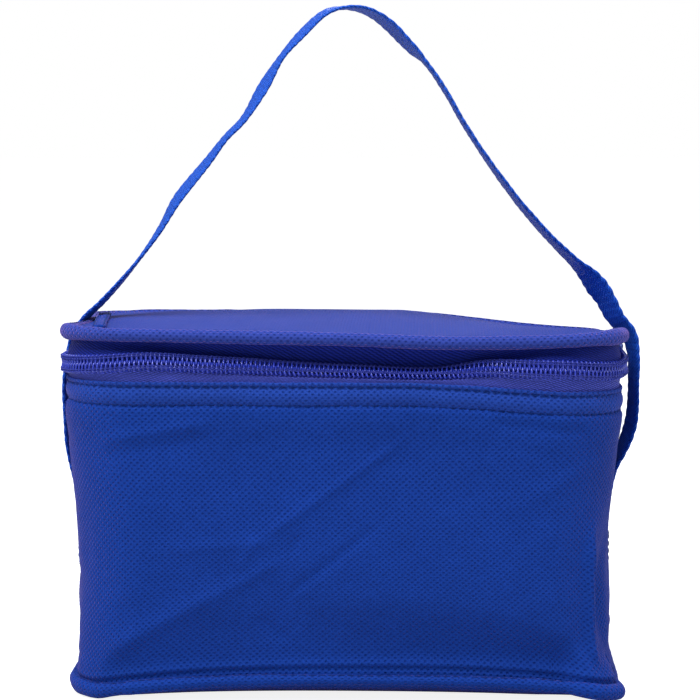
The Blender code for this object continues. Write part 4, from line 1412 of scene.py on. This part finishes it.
def makeSlider():
    length, height = slider["halfLength"], slider["halfHeight"]
    shape = roundedOutline([(-length, -height * 0.62), (-length * 0.55, -height), (length, -height),
                            (length, height), (-length * 0.55, height), (-length, height * 0.62)], 0.0016)
    outer = plateFromOutline([shape], slider["plate"], 0.00035)
    inner = plateFromOutline([shape], slider["plate"], 0.00035)
    lip = roundedOutline([(-length * 0.5, -0.00035), (length * 0.96, -0.00035), (length * 0.96, 0.00035),
                          (-length * 0.5, 0.00035)], 0.0003)
    lipTop = plateFromOutline([lip], 0.0012, 0.0001)
    lipBottom = plateFromOutline([lip], 0.0012, 0.0001)
    bridge = plateFromOutline([roundedOutline([(0.0022, -0.0003), (length, -0.0003), (length, 0.0003),
                                               (0.0022, 0.0003)], 0.0002)], 0.0052, 0.0001)
    outerX = slider["outer"] + slider["plate"] / 2
    innerX = 0.1020
    crown = bpy.data.meshes.new("crownBail")
    y, z = slider["y"], slider["z"]

    def standing(x):
        return lambda p: Vector((x + p.z, y + p.x, z + p.y))

    def lipAt(offset, x):
        return lambda p: Vector((x + p.z, y + p.x, z + offset + p.y))

    # crown: a bent strip that bridges over the tab's window
    share = np.linspace(0, 1, 15)
    bend = np.stack((slider["outer"] + slider["plate"] - 0.0002 + 0.0023 * np.sin(np.pi * share) ** 0.55,
                     y + 0.0034 * np.cos(np.pi * share), np.full(15, z)), -1)
    sideA, sideB = frameAlong(bend, np.broadcast_to((0.0, 0.0, 1.0), bend.shape))
    turn = np.arange(12) / 12 * 2 * math.pi
    ring = np.cos(turn)[:, None] * 0.0011 * sideA[:, None, :]
    ring = ring + np.sin(turn)[:, None] * 0.0004 * sideB[:, None, :]
    points = (bend[:, None, :] + ring).reshape(-1, 3)
    faces = []
    for i in range(14):
        for j in range(12):
            k = (j + 1) % 12
            faces.append((i * 12 + j, i * 12 + k, (i + 1) * 12 + k, (i + 1) * 12 + j))
    faces.append(tuple(range(11, -1, -1)))
    faces.append(tuple(range(14 * 12, 15 * 12)))
    crown.from_pydata(points.tolist(), [], faces)
    piece = joinMeshes("zipSlider", [
        (outer, standing(outerX)),
        (inner, standing(innerX)),
        (lipTop, lipAt(height - 0.0004, outerX - 0.0010)),
        (lipBottom, lipAt(-height + 0.0004, outerX - 0.0010)),
        (bridge, standing((outerX + innerX) / 2)),
        (crown, lambda p: p.copy()),
    ])
    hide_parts("zip_slider")
    dress(piece, "slider", "slider")


def makePullTab():
    shape = roundedOutline([(-0.0005, -0.0021), (0.0060, -0.0024), (0.0100, -0.0032), (0.0215, -0.0032),
                            (0.0215, 0.0032), (0.0100, 0.0032), (0.0060, 0.0024), (-0.0005, 0.0021)], 0.0018)
    window = roundedOutline([(0.0006, -0.0013), (0.0040, -0.0013), (0.0040, 0.0013), (0.0006, 0.0013)],
                            0.0004)
    grip = roundedOutline([(0.0105, -0.0019), (0.0190, -0.0019), (0.0190, 0.0019), (0.0105, 0.0019)], 0.0014)
    plate = plateFromOutline([shape, window, grip[::-1]], 0.0010, 0.00022)
    rimShape = roundedOutline([(0.0092, -0.0027), (0.0208, -0.0027), (0.0208, 0.0027), (0.0092, 0.0027)],
                              0.0018)
    rim = plateFromOutline([rimShape, grip[::-1]], 0.0014, 0.0002)
    axisX = slider["outer"] + slider["plate"] + 0.0009

    def place(p):
        return Vector((axisX + p.z, slider["y"] + p.x, slider["z"] + p.y))

    piece = joinMeshes("pullTab", [(plate, place), (rim, place)])
    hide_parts("pull_tab")
    dress(piece, "slider", "tab")


makeSlider()
makePullTab()
print("slider made")

# studio

studio = {"eyeHeight": 0.2086, "eyeDistance": 0.9726, "turn": math.radians(2.0), "dip": math.radians(4.96),
          "lens": 129.2, "shiftX": -0.0009}


def makeCamera():
    data = bpy.data.cameras.new("camera")
    data.lens = studio["lens"]
    data.sensor_width = 36.0
    data.clip_start, data.clip_end = 0.01, 20.0
    camera = bpy.data.objects.new("camera", data)
    camera.location = (studio["eyeDistance"] * math.sin(studio["turn"]) - studio["shiftX"],
                       -studio["eyeDistance"] * math.cos(studio["turn"]), studio["eyeHeight"])
    camera.rotation_euler = (math.pi / 2 - studio["dip"], 0.0, studio["turn"])
    bpy.context.scene.collection.objects.link(camera)
    bpy.context.scene.camera = camera


def softLight(name, place, aim, size, power):
    data = bpy.data.lights.new(name, "AREA")
    data.shape = "RECTANGLE"
    data.size, data.size_y = size
    data.energy = power
    light = bpy.data.objects.new(name, data)
    light.location = place
    light.rotation_euler = (Vector(aim) - Vector(place)).to_track_quat("-Z", "Y").to_euler()
    light.visible_camera = False
    bpy.context.scene.collection.objects.link(light)


def makeStudio():
    scene = bpy.context.scene
    scene.view_settings.view_transform = "Standard"
    world = bpy.data.worlds.new("studioWhite")
    scene.world = world
    world.use_nodes = True
    tree = world.node_tree
    tree.nodes.clear()
    seen = put(tree, "ShaderNodeBackground", [("Color", (1.0, 1.0, 1.0, 1.0)), ("Strength", 1.0)])
    around = put(tree, "ShaderNodeBackground", [("Color", (1.0, 1.0, 1.0, 1.0)), ("Strength", 0.24)])
    path = tree.nodes.new("ShaderNodeLightPath")
    both = put(tree, "ShaderNodeMixShader", [(0, path.outputs["Is Camera Ray"]), (1, around.outputs[0]),
                                             (2, seen.outputs[0])])
    out = tree.nodes.new("ShaderNodeOutputWorld")
    tree.links.new(both.outputs[0], out.inputs["Surface"])
    softLight("topBox", (-0.10, -0.20, 1.30), (0.0, 0.0, 0.08), (1.0, 0.8), 11.0)
    softLight("frontBox", (-0.42, -0.85, 1.25), (0.0, 0.0, 0.08), (0.55, 0.45), 13.5)
    softLight("leftBox", (-1.20, -0.20, 0.75), (0.0, 0.0, 0.10), (0.5, 0.8), 4.5)
    softLight("rightBox", (1.20, -0.15, 0.70), (0.0, 0.0, 0.10), (0.5, 0.8), 6.0)
    softLight("backBox", (0.20, 1.30, 0.90), (0.0, 0.0, 0.10), (0.9, 0.6), 6.0)
    mesh = bpy.data.meshes.new("studioFloor")
    mesh.from_pydata([(-40, -40, 0), (40, -40, 0), (40, 40, 0), (-40, 40, 0)], [], [(0, 1, 2, 3)])
    floor = bpy.data.objects.new("studioFloor", mesh)
    floor.location.z = -0.0002
    scene.collection.objects.link(floor)
    paper = bpy.data.materials.new("studioPaper")
    paper.use_nodes = True
    shader = paper.node_tree.nodes["Principled BSDF"]
    shader.inputs["Base Color"].default_value = (0.60, 0.60, 0.60, 1.0)
    setShader(shader, roughness=0.9, specular=0.0)
    shader.inputs["Emission Color"].default_value = (1.0, 1.0, 1.0, 1.0)
    seen = paper.node_tree.nodes.new("ShaderNodeLightPath")
    lift = maths(paper.node_tree, "MULTIPLY", seen.outputs["Is Camera Ray"], 0.86)
    paper.node_tree.links.new(lift, shader.inputs["Emission Strength"])
    mesh.materials.append(paper)


makeCamera()
makeStudio()
print("studio made")
